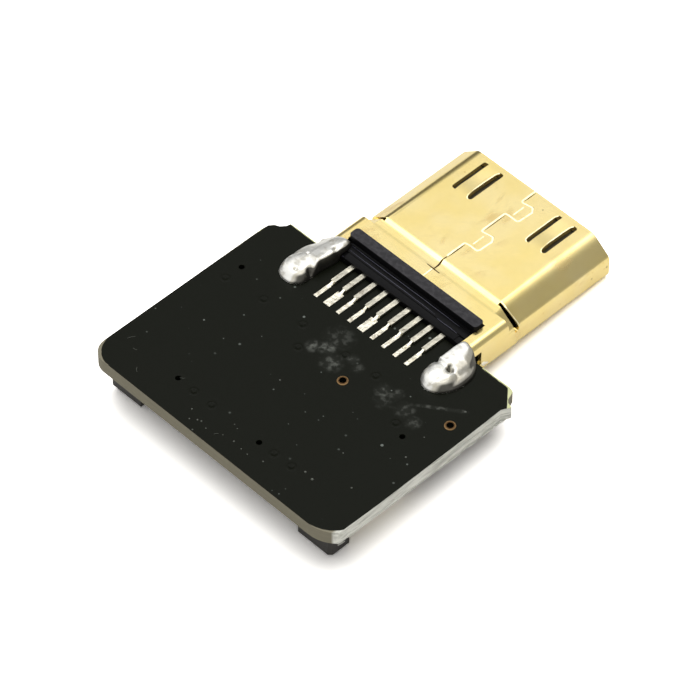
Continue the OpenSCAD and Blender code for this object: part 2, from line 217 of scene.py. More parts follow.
def reach(place: Sequence[Value], centre: Sequence[float]) -> Value:
    """Returns how far a place is from a centre, the root of the differences' summed squares."""
    return sum((part - middle) ** 2.0 for part, middle in zip(place, centre)).root()


class Paint:
    """One material and the nodes that it is made of."""

    def __init__(self, name: str, world: bool = False) -> None:
        """Starts an empty material, or empty surroundings.

        Args:
            name: Its name.
            world: Whether it paints the surroundings.
        """
        self.material = (bpy.data.worlds if world else bpy.data.materials).new(name)
        self.material.use_nodes = True
        self.tree = self.material.node_tree
        self.tree.nodes.clear()

    def node(
        self,
        kind: str,
        settings: dict[str, Any] | None = None,
        inputs: dict[Any, Any] | None = None,
        output: Any = 0,
    ) -> Value:
        """Adds a node, sets it up and returns one of its outputs.

        Args:
            kind: The node's type.
            settings: Properties of the node, set first. The key stops holds a colour ramp's stops.
            inputs: Values or links, by the socket's place or name.
            output: The place or name of the output.

        Returns:
            The chosen output.
        """
        made = self.tree.nodes.new(kind)
        for key, setting in (settings or {}).items():
            if key == "stops":
                self._stops(made.color_ramp, setting)
            else:
                setattr(made, key, setting)
        for key, value in (inputs or {}).items():
            self.feed(made.inputs[key], value)
        return Value(self, made.outputs[output])

    @staticmethod
    def _stops(ramp: bpy.types.ColorRamp, stops: Sequence[tuple[float, Any]]) -> None:
        """Puts the given stops on a colour ramp.

        Args:
            ramp: The ramp.
            stops: Places from 0 to 1, each with a colour.
        """
        while len(ramp.elements) < len(stops):
            ramp.elements.new(1.0)
        for element, (place, colour) in zip(ramp.elements, stops):
            element.position = place
            element.color = colour

    def feed(self, socket: bpy.types.NodeSocket, value: Any) -> None:
        """Links a value to an input, or sets the input to a plain number or colour.

        Args:
            socket: The input.
            value: A Value, a Tint, a number or a tuple.
        """
        if isinstance(value, Value):
            self.tree.links.new(value.socket, socket)
        elif isinstance(value, Tint):
            socket.default_value = value.linear()
        else:
            socket.default_value = value

    def place(self, kind: Kind = Kind.OBJECT) -> tuple[Value, Value, Value]:
        """Reads the surface point or its normal.

        Args:
            kind: Which of the two is read.

        Returns:
            Its X, Y and Z, in millimetres for the point.
        """
        coords = self.node("ShaderNodeTexCoord", None, None, kind.value)
        parts = [self.node("ShaderNodeSeparateXYZ", None, {0: coords}, axis) for axis in range(3)]
        if kind is Kind.NORMAL:
            return parts[0], parts[1], parts[2]
        return parts[0] / MM, parts[1] / MM, parts[2] / MM

    def rays(self) -> tuple[Value, Value]:
        """Returns 1 on rays straight from the camera, and 1 on mirrored rays."""
        names = ("Is Camera Ray", "Is Glossy Ray")
        camera, glossy = (self.node("ShaderNodeLightPath", None, None, name) for name in names)
        return camera, glossy

    def _mapped(self, scale: Sequence[float], shift: float = 0.0) -> Value:
        """Scales and then moves the object's coordinates.

        Args:
            scale: The factors along X, Y and Z.
            shift: How far they are moved along each.

        Returns:
            The moved coordinates.
        """
        coords = self.node("ShaderNodeTexCoord", None, None, Kind.OBJECT.value)
        inputs = {"Vector": coords, "Scale": tuple(scale), "Location": (shift,) * 3}
        return self.node("ShaderNodeMapping", None, inputs)

    def noise(self, size: float, detail: float = 3.0, stretch: Sequence[float] = (1, 1, 1)) -> Value:
        """Makes cloudy noise.

        Args:
            size: The width of a patch in millimetres.
            detail: How many finer layers are added.
            stretch: How many times denser the pattern is along X, Y and Z.

        Returns:
            The noise, from 0 to 1.
        """
        moved = self._mapped([share / (size * MM) for share in stretch])
        return self.node("ShaderNodeTexNoise", None, {"Vector": moved, "Scale": 1.0, "Detail": detail})

    def specks(self, spacing: float, radius: float, share: float, shift: float = 0.0) -> Value:
        """Scatters small round specks.

        Args:
            spacing: The mean distance between cells in millimetres.
            radius: The radius of a speck in millimetres.
            share: The share of cells that hold a speck, from 0 to 1.
            shift: Moves the pattern, so that two layers differ.

        Returns:
            1 on the specks, else 0.
        """
        cells = {"Vector": self._mapped((1 / (spacing * MM),) * 3, shift), "Scale": 1.0}
        near = self.node("ShaderNodeTexVoronoi", None, cells, "Distance")
        tone = self.node("ShaderNodeTexVoronoi", None, cells, "Color")
        pick = self.node("ShaderNodeSeparateColor", None, {0: tone}, 0)
        size = self.node("ShaderNodeSeparateColor", None, {0: tone}, 1)
        edge = radius / spacing * (0.4 + 0.6 * size)
        return (pick < share) * (near < edge)

    def mix(self, factor: Any, low: Any, high: Any) -> Value:
        """Mixes two colours.

        Args:
            factor: 0 for low, 1 for high.
            low: The first colour.
            high: The second colour.

        Returns:
            The mixed colour.
        """
        return self.node("ShaderNodeMix", {"data_type": "RGBA"}, {0: factor, 6: low, 7: high}, 2)

    def bump(self, height: Value, depth: float, strength: float = 1.0) -> Value:
        """Turns a height from 0 to 1 into a bumped normal.

        Args:
            height: The height.
            depth: The height's real size in millimetres.
            strength: How much of it shows.

        Returns:
            The normal.
        """
        inputs = {"Strength": strength, "Distance": depth * MM, "Height": height}
        return self.node("ShaderNodeBump", None, inputs)

    def finish(self, **sockets: Any) -> bpy.types.Material:
        """Closes the material with one principled shader.

        Args:
            **sockets: Its inputs, by name with underscores for spaces.

        Returns:
            The material.
        """
        inputs = {name.replace("_", " "): value for name, value in sockets.items()}
        self.close("ShaderNodeOutputMaterial", self.node("ShaderNodeBsdfPrincipled", None, inputs))
        return self.material

    def close(self, kind: str, shader: Value) -> None:
        """Links a shader to an output.

        Args:
            kind: The output node's type.
            shader: The shader.
        """
        self.feed(self.tree.nodes.new(kind).inputs["Surface"], shader)


# Finishes


@dataclass(frozen=True)
class GoldFlash:
    """Thin gold over a folded and polished sheet, with faint stains from handling and a few dark nicks.

    A nick is its X, Y, Z and radius.
    """

    gold: Tint = Tint(250, 227, 150)
    worn: Tint = Tint(252, 232, 168)
    stain: Tint = Tint(206, 165, 88)
    nick: Tint = Tint(96, 72, 44)
    polish: float = 0.17
    relief: float = 0.012
    nicks: Spots = (
        (5.0, 11.31, 2.15, 0.09),
        (5.0, 10.22, 2.09, 0.07),
        (5.0, 4.74, 1.73, 0.08),
        (0.93, 10.83, 3.6, 0.05),
    )

    def make(self) -> bpy.types.Material:
        """Returns the material."""
        paint = Paint("gold_flash")
        drift = paint.noise(2.6, 2.0)
        smear = paint.noise(0.9, 4.0, (1.0, 0.45, 1.0))
        fine = paint.noise(0.3, 4.0).ramp(0.4, 0.75)
        spots = paint.specks(0.62, 0.055, 0.22)
        stains = smear.ramp(0.52, 0.72) * drift.ramp(0.42, 0.62)
        place = paint.place()
        marks = sum(reach(place, nick[:3]).ramp(nick[3], nick[3] * 0.4) for nick in self.nicks)
        colour = paint.mix(drift.ramp(0.3, 0.7), self.gold, self.worn)
        colour = paint.mix(stains * 0.42 + fine * 0.06, colour, self.stain)
        colour = paint.mix(spots * 0.45, colour, self.stain)
        colour = paint.mix(marks * 0.7, colour, self.nick)
        rough = self.polish + 0.08 * smear + 0.1 * stains
        grain = paint.noise(0.12, 3.0, (1.0, 0.25, 1.0))
        wave = paint.noise(1.8, 1.0)
        normal = paint.bump(grain * 0.1 + wave, self.relief, 0.5)
        return paint.finish(Base_Color=colour, Metallic=1.0, Roughness=rough, Normal=normal)


@dataclass(frozen=True)
class BoardFinish:
    """Satin black mask over fibreglass, which shows bare at the routed and the snapped edges.

    Upright faces beyond inner, a half width and two values of Y, are the outline's, and others are those of
    holes. A patch of flux is its X, Y, radius and thickness.
    """

    mask: Tint = Tint(12, 14, 7)
    dust: Tint = Tint(122, 128, 122)
    residue: Tint = Tint(106, 108, 102)
    routed: Tint = Tint(134, 129, 110)
    layer: Tint = Tint(104, 100, 88)
    snapped: Tint = Tint(232, 232, 222)
    strand: Tint = Tint(172, 172, 162)
    laminate: Tint = Tint(205, 208, 160)
    gloss: float = 0.1
    relief: float = 0.06
    inner: tuple[float, float, float] = (8.0, -11.0, 0.6)
    near_left: Pair = (-7.21, -10.11)
    near_right: Pair = (6.95, -9.5)
    flux: Spots = (
        (-1.07, -3.36, 0.42, 0.9),
        (-0.5, -2.97, 0.45, 1.0),
        (0.35, -3.5, 0.6, 0.75),
        (-0.55, -2.1, 0.8, 0.4),
        (0.95, -2.6, 0.35, 0.8),
        (1.5, -2.85, 0.35, 0.45),
        (3.44, -2.95, 0.45, 0.7),
        (4.1, -2.65, 0.35, 0.6),
        (3.9, -3.4, 0.55, 0.4),
        (5.1, -3.15, 0.55, 0.6),
        (5.95, -3.4, 0.4, 0.8),
    )

    def make(self) -> bpy.types.Material:
        """Returns the material."""
        paint = Paint("board_finish")
        x, y, z = paint.place()
        _, _, up = paint.place(Kind.NORMAL)
        half, near, far = self.inner
        outside = ((abs(x - BOARD_X) > half) + (y < near) + (y > far)).lowest(1.0)
        edge = (1 - abs(up).ramp(0.4, 0.6)) * outside
        bare = self._bare_rim(paint, x, y, z)
        residue = self._residue(paint, x, y)
        fine = paint.noise(0.05, 2.0)
        dust = paint.specks(0.42, 0.07, 0.2) * paint.noise(3.0, 3.0).ramp(0.35, 0.6)
        motes = paint.specks(1.1, 0.1, 0.16, 3.7)
        mask = paint.mix((dust * 0.45 + motes * 0.7).lowest(1.0), self.mask, self.dust)
        mask = paint.mix(residue * 0.75, mask, self.residue)
        weave = paint.noise(0.16, 4.0, (1.0, 0.16, 1.0))
        layers = paint.noise(0.1, 2.0, (0.06, 0.06, 1.0))
        raw = (x - BOARD_X).ramp(8.2, 8.35)
        routed = paint.mix(layers * 0.5, self.routed, self.layer)
        snapped = paint.mix((weave * 0.6 + layers * 0.5).ramp(0.3, 0.7), self.strand, self.snapped)
        laminate = paint.mix(raw, routed, snapped)
        laminate = paint.mix(bare * (y > 0.0), laminate, self.laminate)
        open_side = edge.highest(bare)
        colour = paint.mix(open_side, mask, laminate)
        coated = 0.34 + 0.1 * fine + 0.25 * residue + 0.2 * motes
        ragged = (weave + layers) * edge * (0.25 + raw)
        height = ragged + fine * 0.06 + residue * 0.25 + motes * 0.4
        return paint.finish(
            Base_Color=colour,
            Roughness=coated * (1 - open_side) + 0.62 * open_side,
            Specular_IOR_Level=self.gloss,
            Normal=paint.bump(height, self.relief, 0.8),
        )

    def _bare_rim(self, paint: Paint, x: Value, y: Value, z: Value) -> Value:
        """Finds where the mask stops short of the outline on the upper face, mostly at the corners.

        Args:
            paint: The paint that nodes are added to.
            x: The surface point's X.
            y: The surface point's Y.
            z: The surface point's Z.

        Returns:
            1 where the laminate is bare, else 0.
        """
        left_x, left_y = self.near_left
        wobble = paint.noise(0.4, 2.0) * 0.08
        from_left = reach((x, y), self.near_left) + wobble
        left = (x < left_x) * (y < left_y) * from_left.ramp(1.4, 1.43)
        from_right = reach((x, y), self.near_right) + wobble - (8.2 - x) * 0.12
        right = (x > 7.0) * (y < -10.0) * from_right.ramp(1.86, 1.9)
        across, along = abs(x - BOARD_X), y - NEAR_Y + wobble
        far = (0.73 * across + 0.68 * along).ramp(14.47, 14.51) * (across > 6.5)
        rim = (along > 13.08) * (across > 5.9) + (x - BOARD_X + wobble < -8.43) * (along > 9.0)
        return (left + right + far + rim.lowest(1.0)).lowest(1.0) * (z > BOARD_TOP - 0.02)

    def _residue(self, paint: Paint, x: Value, y: Value) -> Value:
        """Lays dried flux in patches and a thin arc in front of the contacts.

        Args:
            paint: The paint that nodes are added to.
            x: The surface point's X.
            y: The surface point's Y.

        Returns:
            How thickly it lies, from 0 to 1.
        """
        patches = sum(
            reach((x, y), (patch_x, patch_y)).ramp(radius * 1.3, radius * 0.2) * thickness
            for patch_x, patch_y, radius, thickness in self.flux
        )
        from_arc = abs(y + 2.3 - (x - 5.45) * 0.68)
        arc = (1 - from_arc.ramp(0.03, 0.2)) * abs(x - 6.3).ramp(1.2, 0.7)
        cloud = paint.noise(0.3, 8.0).ramp(0.43, 0.7)
        return ((patches + arc * 0.6) * (cloud * 0.9 + 0.1)).lowest(1.0)


@dataclass(frozen=True)
class Moulding:
    """Moulded plastic with a fine grain.

    Where asked, its upper faces above face_z are rougher and lighter, a painted sheen, and its upward faces
    along film_run take a brown tone, partly dust and partly painted light bounced from the gold.
    """

    name: str
    base: Tint
    rough: float
    gloss: float = 0.5
    relief: float = 0.006
    face: Tint | None = None
    face_z: float = 0.0
    dust_and_bounce: Tint | None = None
    film_run: Pair = (NEAR_Y + 20.0, NEAR_Y + 22.8)

    def make(self) -> bpy.types.Material:
        """Returns the material."""
        paint = Paint(self.name)
        fine = paint.noise(0.04, 2.0)
        cloud = paint.noise(1.2, 3.0)
        lighter = Tint(self.base.red * 1.25, self.base.green * 1.25, self.base.blue * 1.25)
        colour = paint.mix(cloud * 0.5, self.base, lighter)
        rough = self.rough + 0.1 * fine
        # Upward faces under the slots take a brown tone: partly dust, partly painted light bounced from the
        # gold.
        if self.dust_and_bounce is not None:
            _, y, _ = paint.place()
            _, _, up = paint.place(Kind.NORMAL)
            below_slots = (up > 0.5) * (y > self.film_run[0]) * (y < self.film_run[1])
            colour = paint.mix(below_slots * (0.6 + 0.4 * cloud), colour, self.dust_and_bounce)
        # Upper faces above face_z turn lighter: a painted sheen from the light overhead, broken by pores.
        if self.face is not None:
            _, _, z = paint.place()
            _, _, up = paint.place(Kind.NORMAL)
            top = (z > self.face_z) * (up > 0.7)
            pores = paint.specks(0.11, 0.035, 0.5)
            worn = paint.noise(0.25, 4.0).ramp(0.35, 0.7)
            colour = paint.mix(top * (0.62 + 0.38 * worn), colour, self.face)
            colour = paint.mix(top * pores * 0.3, colour, self.base)
            rough = rough * (1 - top) + top * (0.48 + 0.12 * fine)
        return paint.finish(
            Base_Color=colour,
            Roughness=rough,
            Specular_IOR_Level=self.gloss,
            Normal=paint.bump(fine, self.relief, 0.6),
        )


@dataclass(frozen=True)
class TinnedMetal:
    """Pale grainy tin, warmer where it is thin, soiled in spots and bare around the ringed holes."""

    name: str
    base: Tint
    thin: Tint
    rough: float
    relief: float = 0.01
    soil: Tint = Tint(110, 92, 74)
    bare: Tint | None = None
    bare_radius: float = 0.4

    def make(self) -> bpy.types.Material:
        """Returns the material."""
        paint = Paint(self.name)
        cloud = paint.noise(0.35, 4.0)
        streak = paint.noise(0.09, 3.0, (1.0, 0.3, 1.0))
        pits = paint.specks(0.3, 0.05, 0.3)
        soil = paint.noise(0.22, 4.0).ramp(0.54, 0.72)
        colour = paint.mix(cloud.ramp(0.45, 0.75), self.base, self.thin)
        if self.bare is not None:
            x, y, _ = paint.place()
            first, second = (reach((x, y), hole) for hole in RINGED_HOLES)
            colour = paint.mix(first.lowest(second) < self.bare_radius, colour, self.bare)
        colour = paint.mix((pits * 0.7 + soil * 0.5).lowest(1.0), colour, self.soil)
        rough = self.rough + 0.16 * streak
        normal = paint.bump(streak + cloud * 2.0, self.relief, 0.8)
        return paint.finish(Base_Color=colour, Metallic=1.0, Roughness=rough, Normal=normal)


@dataclass(frozen=True)
class BrightSolder:
    """Bright solder, frosted, with small sunken pits and painted shade on sideways facets and upright flanks.
    """

    base: Tint = Tint(247, 246, 240)
    shade: Tint = Tint(204, 200, 188)
    # Painted shade: the next colour on sideways facets, and the one after it, near black, on upright flanks.
    side: Tint = Tint(186, 180, 162)
    flank_shade: Tint = Tint(52, 51, 47)
    flux: Tint = Tint(130, 106, 72)
    pit: Tint = Tint(90, 80, 62)
    metal: float = 0.82
    relief: float = 0.014

    def make(self) -> bpy.types.Material:
        """Returns the material."""
        paint = Paint("bright_solder")
        across, _, up = paint.place(Kind.NORMAL)
        cloud = paint.noise(0.5, 3.0)
        ripple = paint.noise(0.3, 2.0)
        pits = paint.specks(0.5, 0.05, 0.3)
        flux = paint.noise(0.6, 3.0).ramp(0.62, 0.72)
        # Painted shade by the normal's direction: sideways facets turn beige and upright flanks near black.
        slope_shade = across.ramp(0.22, 0.4) * (0.5 + 0.5 * ripple)
        steep_shade = abs(up).ramp(0.76, 0.6) * across.ramp(0.4, 0.6)
        colour = paint.mix(cloud.ramp(0.48, 0.7), self.base, self.shade)
        colour = paint.mix(flux * 0.3, colour, self.flux)
        colour = paint.mix(slope_shade, colour, self.side)
        colour = paint.mix(steep_shade * 0.9, colour, self.flank_shade)
        colour = paint.mix(pits * 0.7, colour, self.pit)
        rough = 0.3 + 0.1 * cloud.ramp(0.4, 0.7) + 0.2 * pits
        normal = paint.bump(ripple + cloud * 0.4 - pits * 0.3, self.relief, 0.6)
        return paint.finish(Base_Color=colour, Metallic=self.metal, Roughness=rough, Normal=normal)


@dataclass(frozen=True)
class EdgeHighlight:
    """Gold paler than the shell's on raised edges: a painted highlight, in random brighter and duller patches.
    """

    bright: Tint = Tint(255, 244, 200)
    dull: Tint = Tint(252, 234, 172)
    rough: float = 0.24

    def make(self) -> bpy.types.Material:
        """Returns the material."""
        paint = Paint("rubbed_edge")
        colour = paint.mix(paint.noise(0.3, 2.0).ramp(0.5, 0.7), self.bright, self.dull)
        return paint.finish(Base_Color=colour, Metallic=1.0, Roughness=self.rough)


@dataclass(frozen=True)
class GlassStrand:
    """Whitish glass strands torn out of the laminate."""

    shade: Tint = Tint(190, 190, 180)
    light: Tint = Tint(226, 226, 216)
    rough: float = 0.5

    def make(self) -> bpy.types.Material:
        """Returns the material."""
        paint = Paint("glass_strand")
        colour = paint.mix(paint.noise(0.2, 2.0), self.shade, self.light)
        return paint.finish(Base_Color=colour, Roughness=self.rough)


class Look(Enum):
    """The finishes of the part, each with its recipe."""

    GOLD = GoldFlash()
    BOARD = BoardFinish()
    PAD = TinnedMetal(
        "tinned_pad", Tint(252, 247, 228), Tint(206, 196, 172), 0.2, 0.018, bare=Tint(96, 72, 48)
    )
    PIN = TinnedMetal("tinned_pin", Tint(206, 202, 186), Tint(248, 242, 220), 0.24, 0.014)
    COPPER = TinnedMetal("aged_copper", Tint(142, 114, 78), Tint(122, 98, 66), 0.4)
    # Paler gold on raised edges, a painted highlight.
    EDGE = EdgeHighlight()
    # Dark brown for tubes in the seam's gap: painted shade.
    CRACK = Moulding("tarnished_gap", Tint(66, 47, 22), 0.6, gloss=0.2)
    SOLDER = BrightSolder()
    # Lighter plastic for thin lines along the slab's step edges: painted highlights.
    SHEEN = Moulding("rubbed_plastic", Tint(60, 60, 72), 0.3)
    DUST = Moulding("dust", Tint(92, 94, 88), 0.8, gloss=0.1)
    # The bar's lighter top is a painted sheen; the brown under the slots is partly dust, partly painted bounce
    # light.
    INSULATOR = Moulding(
        "black_moulding",
        Tint(13, 13, 14),
        0.24,
        gloss=0.07,
        face=Tint(66, 65, 67),
        face_z=SHELL_TOP + 0.02,
        dust_and_bounce=Tint(98, 92, 76),
    )
    LOCK = Moulding("lock_moulding", Tint(44, 42, 38), 0.42, gloss=0.4)
    HOUSING = Moulding("ivory_moulding", Tint(222, 214, 192), 0.5)
    STRAND = GlassStrand()


# Meshes


def grid_quads(rows: int, columns: int, closed: bool = False) -> np.ndarray:
    """Indexes the quads of a grid of points stored row by row.

    Args:
        rows: Number of rows.
        columns: Number of columns.
        closed: Whether the last column joins the first.

    Returns:
        An array of four point numbers for each quad.
    """
    wide = columns if closed else columns - 1
    row, column = np.meshgrid(np.arange(rows - 1), np.arange(wide), indexing="ij")
    here = (row * columns + column).ravel()
    right = (row * columns + (column + 1) % columns).ravel()
    return np.stack([here, right, right + columns, here + columns], axis=1)


def add_object(name: str, data: Any) -> bpy.types.Object:
    """Puts a mesh, camera or lamp into the scene as a new object at the origin.

    Args:
        name: The object's name.
        data: The mesh, camera or lamp.

    Returns:
        The object.
    """
    made = bpy.data.objects.new(name, data)
    bpy.context.scene.collection.objects.link(made)
    return made


def write_back(work: bmesh.types.BMesh, mesh: bpy.types.Mesh) -> None:
    """Writes a working mesh back, frees it and shades every face smooth.

    Args:
        work: The working mesh.
        mesh: The mesh that it was read from.
    """
    work.to_mesh(mesh)
    work.free()
    mesh.polygons.foreach_set("use_smooth", np.full(len(mesh.polygons), True))


def read_rows(items: Any, name: str) -> np.ndarray:
    """Reads a vector of each vertex or face into one array.

    Args:
        items: A mesh's vertices or faces.
        name: The vector's name, such as co or normal.

    Returns:
        One row for each.
    """
    flat = np.zeros(3 * len(items))
    items.foreach_get(name, flat)
    return flat.reshape(-1, 3)


def raise_mesh(name: str, points: np.ndarray, quads: np.ndarray) -> bpy.types.Object:
    """Puts points in millimetres and their faces into a new smooth-shaded object at the origin.

    Args:
        name: The piece's name.
        points: One row for each point.
        quads: One row of point numbers for each face.

    Returns:
        The object.
    """
    mesh = bpy.data.meshes.new(name)
    mesh.from_pydata((points * MM).tolist(), [], quads.tolist())
    work = bmesh.new()
    work.from_mesh(mesh)
    bmesh.ops.remove_doubles(work, verts=work.verts, dist=2e-7)
    bmesh.ops.recalc_face_normals(work, faces=work.faces)
    write_back(work, mesh)
    mesh.update()
    return add_object(name, mesh)


def eased_copy(node: str, name: str, merge: float, ease: float, harden: bool) -> bpy.types.Object:
    """Copies a node's mesh in millimetres, joins its loose triangles and rounds its sharp edges.

    Args:
        node: The node.
        name: The copy's name.
        merge: Points closer than this become one.
        ease: The width of the rounding.
        harden: Whether flat faces keep their normals up to the rounding.

    Returns:
        The copy, whose mesh is still in millimetres.
    """
    mesh = bpy.data.objects[node].data.copy()
    mesh.name = name
    mesh.transform(Matrix.Scale(1 / MM, 4))
    work = bmesh.new()
    work.from_mesh(mesh)
    bmesh.ops.remove_doubles(work, verts=work.verts, dist=merge)
    parts = {"verts": work.verts, "edges": work.edges, "delimit": {"NORMAL"}}
    bmesh.ops.dissolve_limit(work, angle_limit=FLAT_ANGLE, **parts)
    write_back(work, mesh)
    made = add_object(name, mesh)
    bevel = made.modifiers.new("ease", "BEVEL")
    bevel.width = ease
    bevel.segments = 2
    bevel.limit_method = "ANGLE"
    bevel.angle_limit = EDGE_ANGLE
    bevel.harden_normals = harden
    bpy.context.view_layer.update()
    graph = bpy.context.evaluated_depsgraph_get()
    made.data = bpy.data.meshes.new_from_object(made.evaluated_get(graph), depsgraph=graph)
    made.data.name = name
    made.modifiers.clear()
    return made


def join_grids(grids: Sequence[Grid]) -> Grid:
    """Joins several point grids and their quads into one.

    Args:
        grids: Pairs of points and quads.

    Returns:
        All points and all quads.
    """
    starts = np.cumsum([0] + [len(points) for points, _ in grids[:-1]])
    quads = [quad + start for (_, quad), start in zip(grids, starts)]
    return np.concatenate([points for points, _ in grids]), np.concatenate(quads)


def ripples(x: np.ndarray, y: np.ndarray, seed: int, size: float) -> np.ndarray:
    """Sums eight plane waves of random direction and phase, so that the result lies within about 1.

    Args:
        x: X of each point.
        y: Y of each point.
        seed: Seed of the random numbers.
        size: The length of the longest wave.

    Returns:
        The sum at each point.
    """
    rng = np.random.default_rng(seed)
    total = np.zeros_like(x)
    for order in range(8):
        turn, phase = rng.uniform(0, 2 * math.pi, 2)
        pulse = 2 * math.pi * (1 + 0.45 * order) / size
        total += np.sin(pulse * (x * math.cos(turn) + y * math.sin(turn)) + phase) / (1 + order)
    return total / 2.2


def tube(path: np.ndarray, radius: np.ndarray, sides: int) -> Grid:
    """Carries a circle along a path. Each ring lies across the path, and the ends draw to a point.

    Args:
        path: Points of the path.
        radius: The radius at each point.
        sides: Points in a ring.

    Returns:
        The points and quads of the tube.
    """
    along = np.gradient(path, axis=0)
    along /= np.linalg.norm(along, axis=1, keepdims=True)
    across = np.cross(along, np.array([0.12, 0.07, 1.0]))
    across /= np.linalg.norm(across, axis=1, keepdims=True)
    over = np.cross(across, along)
    turn = np.linspace(0, 2 * math.pi, sides, endpoint=False)
    ring = np.cos(turn)[None, :, None] * across[:, None] + np.sin(turn)[None, :, None] * over[:, None]
    size = np.concatenate([[0.0], radius, [0.0]])
    centres = np.concatenate([path[:1], path, path[-1:]])
    rings = np.concatenate([ring[:1], ring, ring[-1:]])
    points = centres[:, None] + size[:, None, None] * rings
    return points.reshape(-1, 3), grid_quads(len(size), sides, True)


def closed_curve(controls: Corners, count: int) -> np.ndarray:
    """Draws a closed Catmull-Rom curve through the controls.

    It is a cubic between each two, whose end slopes are half the chord between the controls on both sides.

    Args:
        controls: Points on the curve, in order.
        count: Number of points to return.

    Returns:
        The curve's points.
    """
    corner = np.array(controls, float)
    place = np.linspace(0, len(corner), count, endpoint=False)
    first = np.floor(place).astype(int)
    t = (place - first)[:, None]
    weights = [-t + 2 * t**2 - t**3, 2 - 5 * t**2 + 3 * t**3, t + 4 * t**2 - 3 * t**3, -(t**2) + t**3]
    return sum(w * corner[(first + shift - 1) % len(corner)] for shift, w in enumerate(weights)) / 2


def puddle(outline: np.ndarray, centre: Pair, mound: Mound, floor: Height, rings: int = 40) -> Grid:
    """Raises a mound over a footprint and closes it with an underside.

    Args:
        outline: Points of the footprint's outline.
        centre: A point inside it.
        mound: The height above the board at each X, Y and share of the way from the centre to the outline.
        floor: The underside's height at each X and Y.
        rings: Number of rings from the centre to the outline.

    Returns:
        The points and quads.
    """
    share = np.sin(np.linspace(0, math.pi / 2, rings)) ** 0.9
    flat = np.array(centre) + share[:, None, None] * (outline - np.array(centre))
    low = floor(flat[..., 0], flat[..., 1])
    rise = mound(flat[..., 0], flat[..., 1], np.broadcast_to(share[:, None], low.shape))
    rise[-1] = low[-1]
    top = np.concatenate([flat, np.maximum(rise, low)[..., None]], axis=2)
    base = np.concatenate([flat, low[..., None]], axis=2)
    both = np.concatenate([top, base[::-1]], axis=0)
    return both.reshape(-1, 3), grid_quads(len(both), len(outline), True)


def turned(x: float, y: float, radius: np.ndarray, height: np.ndarray, sides: int) -> Grid:
    """Turns a section about an upright axis: a ring of each radius, at its own height.

    Args:
        x: X of the axis.
        y: Y of the axis.
        radius: The section's radii.
        height: Its height at each radius.
        sides: Points in a ring.

    Returns:
        The points and quads.
    """
    turn = np.linspace(0, 2 * math.pi, sides, endpoint=False)
    across, along = radius[:, None] * np.cos(turn), radius[:, None] * np.sin(turn)
    points = np.stack(np.broadcast_arrays(x + across, y + along, height[:, None]), axis=2)
    return points.reshape(-1, 3), grid_quads(len(radius), sides, True)


def rounded_path(corners: Sequence[Sequence[float]], step: float, blur: int) -> np.ndarray:
    """Walks along a polyline in even steps and averages neighbours, so that its corners come out rounded.

    Args:
        corners: Corners of the polyline.
        step: Distance between two points.
        blur: Number of neighbours in the average, an odd number.

    Returns:
        The points, one row each.
    """
    knots = np.array(corners, float)
    length = np.concatenate([[0.0], np.cumsum(np.linalg.norm(np.diff(knots, axis=0), axis=1))])
    place = np.linspace(0, length[-1], max(4, round(length[-1] / step)))
    flat = np.column_stack([np.interp(place, length, part) for part in knots.T])
    weight = np.hanning(blur + 2)[1:-1]
    weight /= weight.sum()
    padded = np.pad(flat, ((blur // 2, blur // 2), (0, 0)), "edge")
    return np.column_stack([np.convolve(part, weight, "valid") for part in padded.T])


def lay(flat: np.ndarray, height: np.ndarray) -> np.ndarray:
    """Lifts a path to its heights in the frame.

    Args:
        flat: Its X from the plug's middle and its Y from the cable edge.
        height: The height of each point.

    Returns:
        The path, one row for each point.
    """
    return np.column_stack([flat[:, 0] + PLUG_X, flat[:, 1] + NEAR_Y, height])


def seat(points: np.ndarray, below: bool) -> np.ndarray:
    """Moves points from the plug's own axes, whose Z starts at the board's face, into the frame.

    Args:
        points: One row for each point.
        below: Whether they are mirrored to the lower face.

    Returns:
        The moved points.
    """
    return lay(points[:, :2], BOARD_LOW - points[:, 2] if below else BOARD_TOP + points[:, 2])


# Pieces


@dataclass
class Piece:
    """Something added to the frame, with its finish and the name of a slot."""

    finish: bpy.types.Material
    slot: str

    def build(self) -> bpy.types.Object:
        """Returns the finished object, which each kind of piece makes in its own way."""
        raise NotImplementedError

    def settle(self, made: bpy.types.Object, *replaced: str) -> bpy.types.Object:
        """Gives a new object its finish and body, and hides the nodes that it stands for.

        Args:
            made: The object.
            *replaced: Names of nodes.

        Returns:
            The object.
        """
        made.data.materials.clear()
        made.data.materials.append(self.finish)
        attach(made, BODY)
        if replaced:
            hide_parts(*replaced)
        LOG.info("%s: %d faces", made.name, len(made.data.polygons))
        return made

    def gather(self, name: str, grids: Sequence[Grid]) -> bpy.types.Object:
        """Raises several grids as one new object and settles it.

        Args:
            name: The object's name.
            grids: Pairs of points and quads.

        Returns:
            The object.
        """
        return self.settle(raise_mesh(name, *join_grids(grids)))


